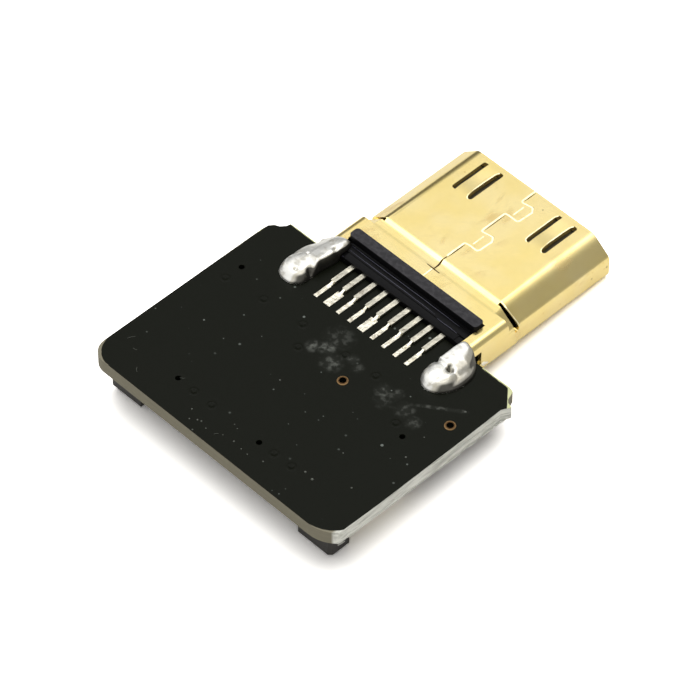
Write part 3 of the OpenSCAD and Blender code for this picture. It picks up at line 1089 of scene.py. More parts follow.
def bend_normals(x: np.ndarray, z: np.ndarray, right: Corners, radius: float) -> np.ndarray:
    """Finds the normal of a folded outline with rounded corners.

    The corners on the right are mirrored to the left. The outline moved inwards by the radius is a sharp
    polygon, and the normal at a point is the direction to the point from the polygon's nearest point.

    Args:
        x: X of each point.
        z: Z of each point.
        right: Sharp corners of the outline on the right, from the bottom up.
        radius: Radius of the rounding.

    Returns:
        One unit normal for each point, pointing outwards.
    """
    corner = np.array([*right, *[(-a, b) for a, b in reversed(right)]])
    ahead = np.roll(corner, -1, axis=0) - corner
    ahead /= np.linalg.norm(ahead, axis=1, keepdims=True)
    after = np.column_stack([-ahead[:, 1], ahead[:, 0]])
    before = np.roll(after, 1, axis=0)
    centre = corner + radius * (before + after) / (1 + np.sum(before * after, axis=1, keepdims=True))
    side = np.roll(centre, -1, axis=0) - centre
    point = np.column_stack([x, z])[:, None]
    share = np.clip(np.sum((point - centre) * side, axis=2) / np.sum(side * side, axis=1), 0, 1)
    away = point - (centre + share[..., None] * side)
    length = np.linalg.norm(away, axis=2)
    rows = np.arange(len(x))
    nearest = np.argmin(length, axis=1)
    flat = away[rows, nearest] / np.maximum(length[rows, nearest], 1e-6)[:, None]
    return np.column_stack([flat[:, 0], np.zeros(len(x)), flat[:, 1]])


def strip_bow(y: np.ndarray) -> np.ndarray:
    """Returns a spring strip's bow at Y, sin(pi u^0.8), where u goes from 0 to 1 between the slots' ends."""
    return np.sin(math.pi * np.clip((y - BOW_START) / BOW_LENGTH, 0, 1) ** 0.8)


def on_strips(x: np.ndarray, y: np.ndarray) -> np.ndarray:
    """Returns which points, from the plug's middle and the cable edge, lie on the strips, seen from above."""
    start, end = STRIP_ENDS
    return (np.abs(np.abs(x) - STRIP_X) < STRIP_HALF) & (y > start) & (y < end)


@dataclass
class ShellSkin(Piece):
    """The folded shell with its cut edges eased and with the exact normals of its bends, step and strips.

    A section is the outline's sharp corners on the right, as X from the plug's middle and height above the
    board. The front one holds beyond front_from, the rear one up to rear_to and the flank's along flank_run.
    The step is its tilt in degrees at each Y, and step_run and step_half are where it lies. The bend is its
    first X, its width and its tilt in degrees, and the dip its depth, first Y and length. Cuts are a start,
    an end and a spacing.
    """

    node: str = "plug_shell"
    ease: float = 0.03
    merge: float = 0.004
    front: Corners = ((5.2, -1.6), (5.2, -0.12), (4.05, 0.8))
    rear: Corners = ((5.25, -1.6), (5.25, 0.62))
    flank: Corners = ((5.25, -1.6), (5.25, 0.0))
    front_from: float = 15.72
    rear_to: float = 15.75
    flank_run: Pair = (15.6, 16.35)
    step_run: Pair = (15.56, 16.53)
    step_half: float = 4.3
    radius: float = 0.45
    bend: tuple[float, float, float] = (3.84, 0.74, 38.66)
    dip: tuple[float, float, float] = (0.03, 20.2, 2.45)
    bend_cuts: tuple[float, float, float] = (3.8, 4.75, 0.08)
    step_cuts: tuple[float, float, float] = (15.56, 16.54, 0.04)
    strip_cuts: tuple[float, float, float] = (20.24, 22.64, 0.12)
    lift: float = 0.14
    waist: float = 0.1
    match: float = math.radians(20)
    step: Corners = (
        (15.6, 0.0),
        (15.67, -1.8),
        (15.75, -1.8),
        (15.84, 1.0),
        (16.06, 1.5),
        (16.12, 5.0),
        (16.17, 14.0),
        (16.25, 20.0),
        (16.33, 15.0),
        (16.38, 6.0),
        (16.44, 0.0),
    )

    def build(self) -> bpy.types.Object:
        """Returns the shell's eased copy, sliced, with its strips bowed and its normals set."""
        made = eased_copy(self.node, "shell_skin", self.merge, self.ease, False)
        self._slice(made.data)
        self._lift_strips(made.data)
        self._set_normals(made.data)
        made.data.transform(Matrix.Scale(MM, 4))
        return self.settle(made, self.node)

    def _slice(self, mesh: bpy.types.Mesh) -> None:
        """Cuts the faces along closely spaced planes over the two upper bends, the step and the strips.

        Args:
            mesh: The shell's mesh in millimetres.
        """
        work = bmesh.new()
        work.from_mesh(mesh)
        across = [side * place for side in (-1, 1) for place in np.arange(*self.bend_cuts)]
        along = [*np.arange(*self.step_cuts), *np.arange(*self.strip_cuts)]
        cuts = [((PLUG_X + place, 0, 0), (1, 0, 0)) for place in across]
        cuts += [((0, NEAR_Y + place, 0), (0, 1, 0)) for place in along]
        for point, normal in cuts:
            everything = [*work.verts, *work.edges, *work.faces]
            bmesh.ops.bisect_plane(work, geom=everything, dist=1e-3, plane_co=point, plane_no=normal)
        write_back(work, mesh)

    def _lift_strips(self, mesh: bpy.types.Mesh) -> None:
        """Bows the spring strips outwards and draws them in at their waist.

        A point rises by lift * strip_bow(y), and its distance from the strip's middle shrinks by the
        factor 1 - waist * strip_bow(y).

        Args:
            mesh: The shell's mesh in millimetres.
        """
        place = read_rows(mesh.vertices, "co")
        x, y, z = (place - np.array([PLUG_X, NEAR_Y, SHELL_TOP])).T
        bow = np.where(on_strips(x, y) & (z > -0.4), strip_bow(y), 0.0)
        place[:, 2] += self.lift * bow
        place[:, 0] -= self.waist * bow * (np.abs(x) - STRIP_X) * np.sign(x)
        mesh.vertices.foreach_set("co", place.ravel())

    def _set_normals(self, mesh: bpy.types.Mesh) -> None:
        """Gives each face corner the normal of the surface that its face belongs to.

        Each surface offers its normal n at the corner. The one whose |n . f| with the face's own normal f is
        largest is taken, turned to f's side, where the two match closely enough. Other corners keep f.

        Args:
            mesh: The shell's mesh in millimetres.
        """
        vertex = np.zeros(len(mesh.loops), int)
        mesh.loops.foreach_get("vertex_index", vertex)
        sizes = np.zeros(len(mesh.polygons), int)
        mesh.polygons.foreach_get("loop_total", sizes)
        x, y, z = (read_rows(mesh.vertices, "co")[vertex] - np.array([PLUG_X, NEAR_Y, BOARD_TOP])).T
        face = np.repeat(read_rows(mesh.polygons, "normal"), sizes, axis=0)
        front = bend_normals(x, z, self.front, self.radius)
        in_bend = (np.abs(x) < self.bend_cuts[1])[:, None]
        flank_start, flank_end = self.flank_run
        offers = [
            (np.where(in_bend, self._upper_bend(x), front), y > self.front_from),
            (bend_normals(x, z, self.rear, self.radius), y < self.rear_to),
            (bend_normals(x, z, self.flank, self.radius), (y > flank_start) & (y < flank_end)),
        ]
        chosen = face.copy()
        best = np.full(len(vertex), math.cos(self.match))
        for normal, near in offers:
            match = np.sum(normal * face, axis=1)
            better = near & (np.abs(match) > best + 1e-6)
            chosen[better] = (normal * np.sign(match)[:, None])[better]
            best[better] = np.abs(match)[better]
        step_start, step_end = self.step_run
        upward = (face[:, 2] > 0.8) & (np.abs(face[:, 0]) < 0.2)
        step = upward & (y > step_start) & (y < step_end) & (np.abs(x) < self.step_half)
        chosen[step] = self._climb(self._step_slope(y))[step]
        strip = on_strips(x, y) & (np.abs(face[:, 2]) > 0.9)
        chosen[strip] = (self._climb(self._strip_slope(y)) * np.sign(face[:, 2])[:, None])[strip]
        mesh.normals_split_custom_set(chosen.tolist())

    def _upper_bend(self, x: np.ndarray) -> np.ndarray:
        """Returns the normals of the soft bend between the top and a slope.

        The tilt is the bend's times 1 - (1 - u)^2, where u goes from 0 to 1 over the bend's width.
        """
        start, width, degrees = self.bend
        share = np.clip((np.abs(x) - start) / width, 0, 1)
        tilt = np.radians(degrees) * (1 - (1 - share) ** 2)
        return np.column_stack([np.sign(x) * np.sin(tilt), np.zeros_like(x), np.cos(tilt)])

    @staticmethod
    def _climb(slope: np.ndarray) -> np.ndarray:
        """Returns the unit normals (0, -slope, 1) / sqrt(1 + slope^2) of a face that climbs along Y."""
        normal = np.column_stack([np.zeros_like(slope), -slope, np.ones_like(slope)])
        return normal / np.sqrt(1 + slope**2)[:, None]

    def _step_slope(self, y: np.ndarray) -> np.ndarray:
        """Returns dz/dy over the step: a slight crease, a nearly flat run and a round shoulder."""
        places, tilts = zip(*self.step)
        return np.tan(np.radians(np.interp(y, places, tilts)))

    def _strip_slope(self, y: np.ndarray) -> np.ndarray:
        """Returns the slope that shades a strip, dz/dy of z = -depth * sin^2(pi (y - start) / length)."""
        depth, start, length = self.dip
        return -depth * math.pi / length * np.sin(2 * math.pi * (y - start) / length)


@dataclass
class EasedMoulding(Piece):
    """A moulding with its sharp corners rounded a little, as they come out of the tool."""

    node: str
    ease: float = 0.045
    merge: float = 0.002

    def build(self) -> bpy.types.Object:
        """Returns the moulding's eased copy."""
        made = eased_copy(self.node, f"{self.node}_eased", self.merge, self.ease, True)
        made.data.transform(Matrix.Scale(MM, 4))
        return self.settle(made, self.node)


@dataclass(frozen=True)
class JointShape:
    """The form of a leg's solder joint on the right, in X from the plug's middle and Y from the cable edge.

    The dome is its X, Y, radius and height. The section is the coat's height at each X, which the coat
    reaches between the two values of Y in start. A pit is its X, Y, radius and depth.
    """

    outline: Corners
    dome: tuple[float, float, float, float] = (5.06, 11.03, 0.98, 0.64)
    body: float = 0.5
    section: Corners = ((4.3, 0.8), (4.9, 0.8), (5.3, 0.74), (5.72, 0.56), (6.02, 0.12), (6.3, 0.0))
    start: Pair = (11.36, 11.62)
    narrowing: float = 0.35
    pits: Spots = ()


LOW_JOINT = JointShape(
    outline=(
        (4.42, 10.34),
        (4.8, 10.08),
        (5.25, 10.08),
        (5.72, 10.36),
        (6.04, 10.84),
        (6.19, 11.4),
        (6.19, 12.0),
        (6.06, 12.45),
        (5.8, 12.82),
        (5.46, 13.08),
        (4.98, 13.3),
        (4.56, 13.3),
        (4.44, 12.9),
        (4.43, 12.1),
        (4.4, 11.5),
        (4.16, 11.1),
        (4.2, 10.68),
    )
)
RIGHT_JOINT = replace(
    LOW_JOINT, pits=((5.32, 11.5, 0.15, 0.4), (4.5, 11.42, 0.1, 0.08), (4.3, 11.0, 0.14, 0.08))
)
LEFT_JOINT = JointShape(
    outline=(
        (4.28, 10.56),
        (4.64, 10.22),
        (5.1, 10.14),
        (5.56, 10.28),
        (5.86, 10.64),
        (5.95, 11.15),
        (5.93, 11.9),
        (5.83, 12.45),
        (5.6, 12.85),
        (5.42, 13.3),
        (5.15, 13.7),
        (4.7, 13.95),
        (4.2, 13.98),
        (4.04, 13.6),
        (4.06, 13.0),
        (4.1, 12.4),
        (4.2, 11.8),
        (4.2, 11.1),
    ),
    dome=(5.05, 11.12, 0.95, 0.64),
    section=((4.2, 0.78), (4.36, 0.82), (4.7, 0.78), (5.05, 0.72), (5.5, 0.5), (6.1, 0.2)),
    start=(11.0, 11.9),
    narrowing=0.2,
    pits=(
        (4.3, 11.2, 0.12, 0.3),
        (5.12, 11.87, 0.07, 0.1),
        (4.83, 10.72, 0.09, 0.1),
        (4.3, 13.0, 0.12, 0.14),
    ),
)


@dataclass
class LegSolder(Piece):
    """A solder joint over one of the shell's legs."""

    name: str
    node: str
    shape: JointShape
    seed: int
    left: bool = False
    below: bool = False
    middle: Pair = (4.9, 11.9)
    shell_x: float = 4.3
    board_end: float = 12.95
    leg_rise: float = 0.4

    def mound(self, x: np.ndarray, y: np.ndarray, share: np.ndarray) -> np.ndarray:
        """Blends a dome, a body and a coat over the leg, with a few pits and ripples.

        The blend is the p-norm of the three heights with p = 9. With d the distance from the dome's middle
        over its radius and r the share, the dome is sqrt(1 - d^3.8) * sqrt(1 - r^8) and the body sqrt(1 - r^4)
        of its height. The coat has the section's height at each X, averaged over 0.2 mm, and narrows beyond
        Y 12.4. Towards the outline it comes down to the underside as sqrt(1 - r^16).

        Args:
            x: X of each point.
            y: Distance from the board's cable edge.
            share: Share of the way from the middle to the outline.

        Returns:
            The height above the board.
        """
        shape = self.shape
        dome_x, dome_y, dome_r, dome_h = shape.dome
        away = np.hypot(x - dome_x, y - dome_y) / dome_r
        dome = dome_h * np.sqrt(np.clip(1 - away**3.8, 0, 1)) * np.sqrt(1 - share**8)
        body = shape.body * np.sqrt(1 - share**4)
        places, heights = zip(*shape.section)
        taper = 1 + shape.narrowing * np.clip((y - 12.4) / 0.9, 0, 1.4)
        narrowed = self.shell_x + (x - self.shell_x) * taper
        shifts = (-0.1, -0.05, 0.0, 0.05, 0.1)
        coat = np.mean([np.interp(narrowed + shift, places, heights) for shift in shifts], axis=0)
        start, end = shape.start
        rise = np.clip((y - start) / (end - start), 0, 1)
        low = self.floor(x, y)
        coat = (low + (coat - low) * np.sqrt(1 - share**16)) * (3 * rise**2 - 2 * rise**3)
        total = (dome**9 + body**9 + coat**9) ** (1 / 9)
        for pit_x, pit_y, pit_r, depth in shape.pits:
            total = total - depth * np.exp(-((x - pit_x) ** 2 + (y - pit_y) ** 2) / pit_r**2)
        return np.clip(total * (1 + 0.02 * ripples(x, y, self.seed, 1.3)), SOLDER_FOOT, None)

    def floor(self, x: np.ndarray, y: np.ndarray) -> np.ndarray:
        """Lifts the underside from the pad to the leg's lower face where the joint runs on past the board.

        Args:
            x: X of each point, not used.
            y: Distance from the board's cable edge.

        Returns:
            The height above the board.
        """
        return SOLDER_FOOT + self.leg_rise * np.clip((y - self.board_end) / 0.2, 0, 1)

    def build(self) -> bpy.types.Object:
        """Returns the joint, drawn on the right of the upper face and then mirrored to its place."""
        outline = closed_curve(self.shape.outline, 132)
        points, quads = puddle(outline, self.middle, self.mound, self.floor)
        points[:, 0] *= -1 if self.left else 1
        return self.settle(raise_mesh(self.name, seat(points, self.below), quads), self.node)


@dataclass
class PinSolder(Piece):
    """Thin crooked necks of solder between each contact's end and the bare front of its pad."""

    name: str
    count: int
    seed: int
    below: bool = False
    spacing: float = 0.8
    neck_y: float = 11.6

    def build(self) -> bpy.types.Object:
        """Returns one piece that holds the neck of every contact in the row.

        Each neck is a mound whose height falls in a straight line from the contact's end to the pad.
        """
        rng = np.random.default_rng(self.seed)
        turn = np.linspace(0, 2 * math.pi, 24, endpoint=False)
        grids = []
        for number in range(self.count):
            x = (number - (self.count - 1) / 2) * self.spacing + rng.uniform(-0.03, 0.03)
            lean, tall = rng.uniform(-0.05, 0.05), rng.uniform(0.1, 0.14)
            wide, long = rng.uniform(0.07, 0.095), rng.uniform(0.2, 0.26)
            y = self.neck_y + rng.uniform(-0.03, 0.03)
            across, along = wide * np.cos(turn) + lean * np.sin(turn), long * np.sin(turn)

            def mound(px: np.ndarray, py: np.ndarray, share: np.ndarray) -> np.ndarray:
                """Returns the neck's height above the board."""
                wave = 1 + 0.2 * ripples(px, py, number, 0.3)
                return tall * np.clip((py - y + 0.3) / 0.5, 0.45, 1) * wave * np.sqrt(1 - share**6)

            def floor(px: np.ndarray, py: np.ndarray) -> np.ndarray:
                """Returns the height of the underside."""
                return np.full_like(px, SOLDER_FOOT)

            outline = np.stack([x + across, y + along], axis=1)
            grids.append(puddle(outline, (x, y), mound, floor, 9))
        points, quads = join_grids(grids)
        return self.settle(raise_mesh(self.name, seat(points, self.below), quads))


@dataclass
class BrightEdges(Piece):
    """Raised edges of the shell in a paler gold, a painted highlight: the seam's lip, tongue scores and
    opening rims.

    Paths give X from the plug's middle and Y from the cable edge. A tongue's and a rim's path start at the
    tongue's Y and at the rim's X. A rim is its X and how far the strip that it runs along is bowed up.
    """

    lean: float = 7.0
    seam: Pair = (22.98, 16.62)
    seam_shift: float = 0.045
    tongues: Pair = (21.42, 18.54)
    tongue: Corners = (
        (0, 0.58),
        (0.68, 0.7),
        (0.92, 0.42),
        (0.88, -0.5),
        (0.78, -0.64),
        (0.2, -0.63),
        (0, -0.65),
    )
    score: Corners = ((0.32, 0.36), (0.32, -0.42))
    rims: Corners = ((1.9, 0.0), (-2.24, 0.085), (2.96, 0.085))
    rim: Corners = ((0.2, 20.16), (0.04, 20.22), (-0.02, 20.4), (-0.02, 22.4), (0.06, 22.62))
    rear: Corners = ((-0.05, 15.6), (-0.05, 14.8))
    rear_drop: float = 0.18
    slit: Sequence[tuple[float, float, float]] = (
        (3.98, 16.37, 0.79),
        (4.1, 16.37, 0.74),
        (4.65, 16.45, 0.3),
        (5.2, 16.52, -0.15),
    )

    def build(self) -> bpy.types.Object:
        """Returns all edges as one piece of thin low ridges."""
        corners = [(0.0, self.seam[0])]
        corners += [(x, start + y) for start in self.tongues for x, y in self.tongue]
        flat = rounded_path([*corners, (0.0, self.seam[1])], 0.03, 9)
        along = np.gradient(flat, axis=0)
        along /= np.linalg.norm(along, axis=1, keepdims=True)
        lip = flat + self.seam_shift * np.column_stack([along[:, 1], -along[:, 0]])
        ridges = [self._ridge(lip, 0.055)]
        for start in self.tongues:
            score = rounded_path([(x, start + y) for x, y in self.score], 0.05, 3)
            ridges.append(self._ridge(score, 0.042))
        for start, bow in self.rims:
            rim = rounded_path([(start + x, y) for x, y in self.rim], 0.04, 5)
            ridges.append(self._ridge(rim, 0.034, bow))
        points, quads = self._ridge(rounded_path(self.rear, 0.05, 3), 0.045)
        ridges.append((points - np.array([0.0, 0.0, self.rear_drop]), quads))
        slit = rounded_path(self.slit, 0.05, 5) + np.array([PLUG_X, NEAR_Y, BOARD_TOP - 0.01])
        ridges.append(tube(slit, np.full(len(slit), 0.04), 8))
        made = self.gather("bright_edges", ridges)
        self._flatten(made.data)
        return made

    def _flatten(self, mesh: bpy.types.Mesh) -> None:
        """Gives the ridges' upper sides one normal, as where they are rubbed flat towards the cable end.

        Args:
            mesh: The ridges' mesh.
        """
        normals = read_rows(mesh.vertices, "normal")
        upper = (normals[:, 2] > 0.3) & (read_rows(mesh.vertices, "co")[:, 2] > (SHELL_TOP - 0.25) * MM)
        lean = math.radians(self.lean)
        normals[upper] = (0.0, -math.sin(lean), math.cos(lean))
        mesh.normals_split_custom_set_from_vertices(normals.tolist())

    @staticmethod
    def _ridge(flat: np.ndarray, half: float, bow: float = 0.0) -> Grid:
        """Raises a low ridge along a path on the top face, a tube sunk so far that its chord shows.

        Args:
            flat: The path.
            half: The tube's radius.
            bow: How far the strip below the path is bowed up.

        Returns:
            The ridge's points and quads.
        """
        wave = 0.003 * np.sin(0.15 * np.arange(len(flat)))
        height = SHELL_TOP - 0.55 * half + bow * strip_bow(flat[:, 1]) + wave
        return tube(lay(flat, height), np.full(len(flat), half), 10)


@dataclass
class ShoulderCrack(Piece):
    """Painted shade as dark tubes in the seam: the crossing where it opened at the shoulder, and its straight
    runs.

    A line is its half width and its corners, in X from the plug's middle and Y from the cable edge.
    """

    lines: Sequence[tuple[float, Corners]] = (
        (0.062, ((0.03, 16.66), (-0.03, 16.3), (0.02, 16.0), (0.0, 15.55))),
        (0.045, ((-0.52, 15.66), (0.02, 15.65), (0.46, 15.62))),
        (0.042, ((0.06, 17.88), (0.05, 17.3), (0.05, 16.6))),
        (0.032, ((0.06, 20.78), (0.05, 20.0), (0.06, 19.15))),
        (0.032, ((0.06, 22.95), (0.05, 22.05))),
    )
    step: Corners = ((15.7, 0.18), (15.9, 0.164), (16.1, 0.125), (16.3, 0.04), (16.5, 0.0))

    def build(self) -> bpy.types.Object:
        """Returns the lines as thin tubes that follow the step's height and end in points."""
        grids = []
        for half, corners in self.lines:
            flat = rounded_path(corners, 0.03, 7)
            drop = np.interp(flat[:, 1], *zip(*self.step))
            ends = np.sin(np.linspace(0.1, math.pi - 0.1, len(flat))) ** 0.5
            grids.append(tube(lay(flat, SHELL_TOP - drop - 0.4 * half), half * ends, 6))
        return self.gather("shoulder_crack", grids)


@dataclass
class SlabEdges(Piece):
    """Painted highlights, lighter lines along the upper edges of the steps in the moulding behind the shell.

    A run is its first and last X from the plug's middle, its Y from the cable edge and its height.
    """

    runs: Spots = (
        (-4.05, 3.55, 13.93, 0.458),
        (-4.1, 2.1, 13.68, 0.398),
        (2.35, 3.75, 13.55, 0.398),
        (-4.2, 3.9, 13.2, 0.298),
    )
    half: float = 0.02

    def build(self) -> bpy.types.Object:
        """Returns the edges, each a thin line that wavers a little and ends in points."""
        t = np.linspace(0, 1, 40)
        grids = []
        for start, end, y, z in self.runs:
            wave = 0.008 * np.sin(9 * t + start) + 0.004 * np.sin(31 * t)
            flat = np.column_stack([start + (end - start) * t, y + wave])
            ends = np.sin(math.pi * np.clip(t, 0.04, 0.96)) ** 0.3
            grids.append(tube(lay(flat, np.full(len(t), BOARD_TOP + z - 0.006)), self.half * ends, 6))
        return self.gather("slab_edges", grids)


@dataclass
class WallSpot(Piece):
    """A small smear of solder that was left on the shell's right wall."""

    centre: Pair = (14.02, -1.0)
    half: Pair = (0.26, 0.14)
    rim: float = 0.007
    depth: float = 0.03
    wall: float = 5.24
    slant: float = 0.45

    def build(self) -> bpy.types.Object:
        """Returns the smear, an uneven slanted disc that stands out by rim + depth * sqrt(1 - r^2)."""
        share = np.linspace(0, 1, 8)[:, None]
        turn = np.linspace(0, 2 * math.pi, 28, endpoint=False)[None, :]
        along = self.half[0] * share * np.cos(turn)
        up = self.half[1] * share * np.sin(turn) * (1 + 0.25 * np.cos(3 * turn)) - self.slant * along
        out = self.wall + self.rim + self.depth * np.sqrt(1 - share**2) + 0 * turn
        front = np.stack([out, self.centre[0] + along, self.centre[1] + up], axis=2)
        back = front[::-1].copy()
        back[..., 0] = self.wall
        both = np.concatenate([front, back])
        quads = grid_quads(len(both), both.shape[1], True)
        return self.settle(raise_mesh("wall_spot", seat(both.reshape(-1, 3), False), quads))


@dataclass
class CoveredVias(Piece):
    """Plated holes that the mask has filled: a low ring around a small dent.

    A centre is X from the board's middle and Y from the cable edge.
    """

    centres: Corners = (
        (-7.33, 8.16),
        (-4.93, 8.52),
        (-2.36, 8.74),
        (-1.44, 7.52),
        (0.59, 8.81),
        (2.61, 8.93),
        (-2.92, 1.85),
        (-1.65, 1.86),
        (2.74, 1.88),
        (3.92, 1.9),
        (5.47, 7.47),
    )
    outer: float = 0.36
    lift: float = 0.001

    def build(self) -> bpy.types.Object:
        """Returns all rings over their discs.

        The height is 0.018 exp(-((r - 0.2) / 0.05)^2) - 0.04 exp(-(r / 0.1)^2), over a cone 0.004 high.
        """
        share = np.linspace(0, 1, 16)
        radius = self.outer * share
        rise = 0.018 * np.exp(-(((radius - 0.2) / 0.05) ** 2)) - 0.04 * np.exp(-((radius / 0.1) ** 2))
        height = BOARD_TOP + self.lift + rise + 0.004 * (1 - share)
        grids = [turned(BOARD_X + x, NEAR_Y + y, radius, height, 28) for x, y in self.centres]
        return self.gather("covered_vias", grids)


@dataclass
class CopperRings(Piece):
    """The bare copper around two of the plated holes, which runs out under the edge of the mask."""

    section: Corners = ((0.215, 0.0), (0.22, 0.033), (0.26, 0.036), (0.295, 0.033), (0.305, 0.0))

    def build(self) -> bpy.types.Object:
        """Returns the rings, each the section turned about a hole's axis."""
        radius, rise = np.array(self.section).T
        grids = [turned(x, y, radius, BOARD_TOP + rise, 40) for x, y in RINGED_HOLES]
        return self.gather("copper_rings", grids)


@dataclass
class TornStrands(Piece):
    """Glass strands and flakes that stand out along the snapped right edge of the board."""

    count: int = 150
    seed: int = 11
    edge_x: float = 8.47
    run: Pair = (0.6, 12.0)

    def build(self) -> bpy.types.Object:
        """Returns the strands, each a thin tube that bows out from the edge and droops at its end."""
        rng = np.random.default_rng(self.seed)
        t = np.linspace(0, 1, 7)
        grids = []
        for _ in range(self.count):
            y = rng.uniform(NEAR_Y + self.run[0], NEAR_Y + self.run[1])
            long = rng.uniform(0.25, 1.1)
            low = rng.uniform(BOARD_LOW - 0.1, BOARD_TOP - 0.12) if rng.random() < 0.4 else BOARD_LOW
            bow = rng.uniform(0.01, 0.07)
            droop = rng.uniform(0.0, 0.1)
            across = BOARD_X + self.edge_x + rng.uniform(-0.02, 0.04) + bow * np.sin(math.pi * t)
            height = low - droop * t**2 + rng.uniform(-0.02, 0.02)
            path = np.column_stack([across, y + long * (t - 0.5), height])
            grids.append(tube(path, np.full(len(t), rng.uniform(0.008, 0.022)), 5))
        return self.gather("torn_strands", grids)


@dataclass
class Lint(Piece):
    """A few short fibres and crumbs that lie on the board.

    A hair is its X, Y, length and heading in radians, and a crumb its X, Y and size.
    """

    hairs: Spots = (
        (-7.77, -9.43, 0.42, 1.1),
        (-7.09, -9.82, 0.25, 0.2),
        (-6.02, -10.67, 0.3, 2.4),
        (-4.05, -9.45, 0.26, 0.7),
        (-0.25, -10.76, 0.24, 0.95),
    )
    crumbs: Sequence[tuple[float, float, float]] = (
        (4.53, -9.35, 0.06),
        (5.1, -9.44, 0.07),
        (4.95, -7.2, 0.04),
        (7.26, -5.21, 0.05),
        (6.81, -8.45, 0.05),
        (-0.6, -6.12, 0.045),
        (2.62, -10.35, 0.04),
        (6.98, -3.67, 0.035),
        (7.23, -1.08, 0.06),
        (-2.25, -10.5, 0.045),
        (-1.88, -11.02, 0.04),
        (-1.55, -10.79, 0.045),
        (-1.35, -10.71, 0.045),
        (-1.26, -11.4, 0.04),
        (-0.87, -10.87, 0.035),
        (0.02, -10.57, 0.03),
        (0.7, -10.47, 0.045),
        (1.3, -10.55, 0.035),
        (1.75, -10.58, 0.035),
        (0.22, -9.79, 0.03),
        (-0.07, -9.69, 0.03),
    )
    thick: float = 0.009

    def build(self) -> bpy.types.Object:
        """Returns the fibres, arcs that bend left and right by turns, and the crumbs, small balls."""
        t = np.linspace(-0.5, 0.5, 9)
        grids = []
        for number, (x, y, long, turn) in enumerate(self.hairs):
            bend = 0.35 * long * (0.25 - t**2) * (-1) ** number
            across = x + long * t * math.cos(turn) - bend * math.sin(turn)
            along = y + long * t * math.sin(turn) + bend * math.cos(turn)
            path = np.column_stack([across, along, np.full(len(t), BOARD_TOP + 0.012)])
            grids.append(tube(path, np.full(len(t), self.thick), 5))
        ball = np.sqrt(1 - np.linspace(-0.9, 0.9, 7) ** 2)
        for x, y, size in self.crumbs:
            path = np.array([x, y, BOARD_TOP]) + size * np.outer(np.linspace(-1, 1, 7), (0.8, 0.6, 0.0))
            grids.append(tube(path, size * ball, 6))
        return self.gather("lint", grids)


# The part


NODE_LOOKS = {
    "circuit_board": Look.BOARD,
    "plug_shell": Look.GOLD,
    "plug_insulator": Look.INSULATOR,
    "socket_lock": Look.LOCK,
    "socket_housing": Look.HOUSING,
    "top_pads": Look.PAD,
    "bottom_pads": Look.PAD,
    "solder": Look.SOLDER,
}


@dataclass
class PlugBoard:
    """The whole part: finishes on the frame's nodes and the pieces added to them."""

    nodes: dict[str, bpy.types.Object]
    finishes: dict[Look, bpy.types.Material] = field(default_factory=dict)

    def mix_finishes(self) -> None:
        """Makes every finish once."""
        self.finishes = {look: look.value.make() for look in Look}

    def dress_nodes(self) -> None:
        """Gives each of the frame's nodes its finish, which is that of the contacts where none is named."""
        for name, node in self.nodes.items():
            look = next((look for start, look in NODE_LOOKS.items() if name.startswith(start)), Look.PIN)
            node.data.materials.clear()
            node.data.materials.append(self.finishes[look])

    def add_pieces(self) -> None:
        """Builds each added piece."""
        made = self.finishes
        solder = (made[Look.SOLDER], "solder")
        tin = (made[Look.PAD], "tinned_pad")
        pieces = [
            ShellSkin(made[Look.GOLD], "gold_shell"),
            EasedMoulding(made[Look.INSULATOR], "black_plastic", "plug_insulator"),
            BrightEdges(made[Look.EDGE], "gold_shell"),
            ShoulderCrack(made[Look.CRACK], "gold_shell"),
            WallSpot(*tin),
            LegSolder(*solder, "solder_right", "solder_top_right", RIGHT_JOINT, 3),
            LegSolder(*solder, "solder_left", "solder_top_left", LEFT_JOINT, 8, left=True),
            LegSolder(*solder, "solder_low_right", "solder_bottom_right", LOW_JOINT, 21, below=True),
            LegSolder(
                *solder, "solder_low_left", "solder_bottom_left", LOW_JOINT, 34, left=True, below=True
            ),
            PinSolder(*tin, "pin_solder_top", 9, 5),
            PinSolder(*tin, "pin_solder_bottom", 10, 9, below=True),
            CoveredVias(made[Look.BOARD], "solder_mask"),
            CopperRings(made[Look.COPPER], "tinned_pad"),
            TornStrands(made[Look.STRAND], "solder_mask"),
            Lint(made[Look.DUST], "solder_mask"),
            SlabEdges(made[Look.SHEEN], "black_plastic"),
        ]
        for piece in pieces:
            piece.build()


# The studio


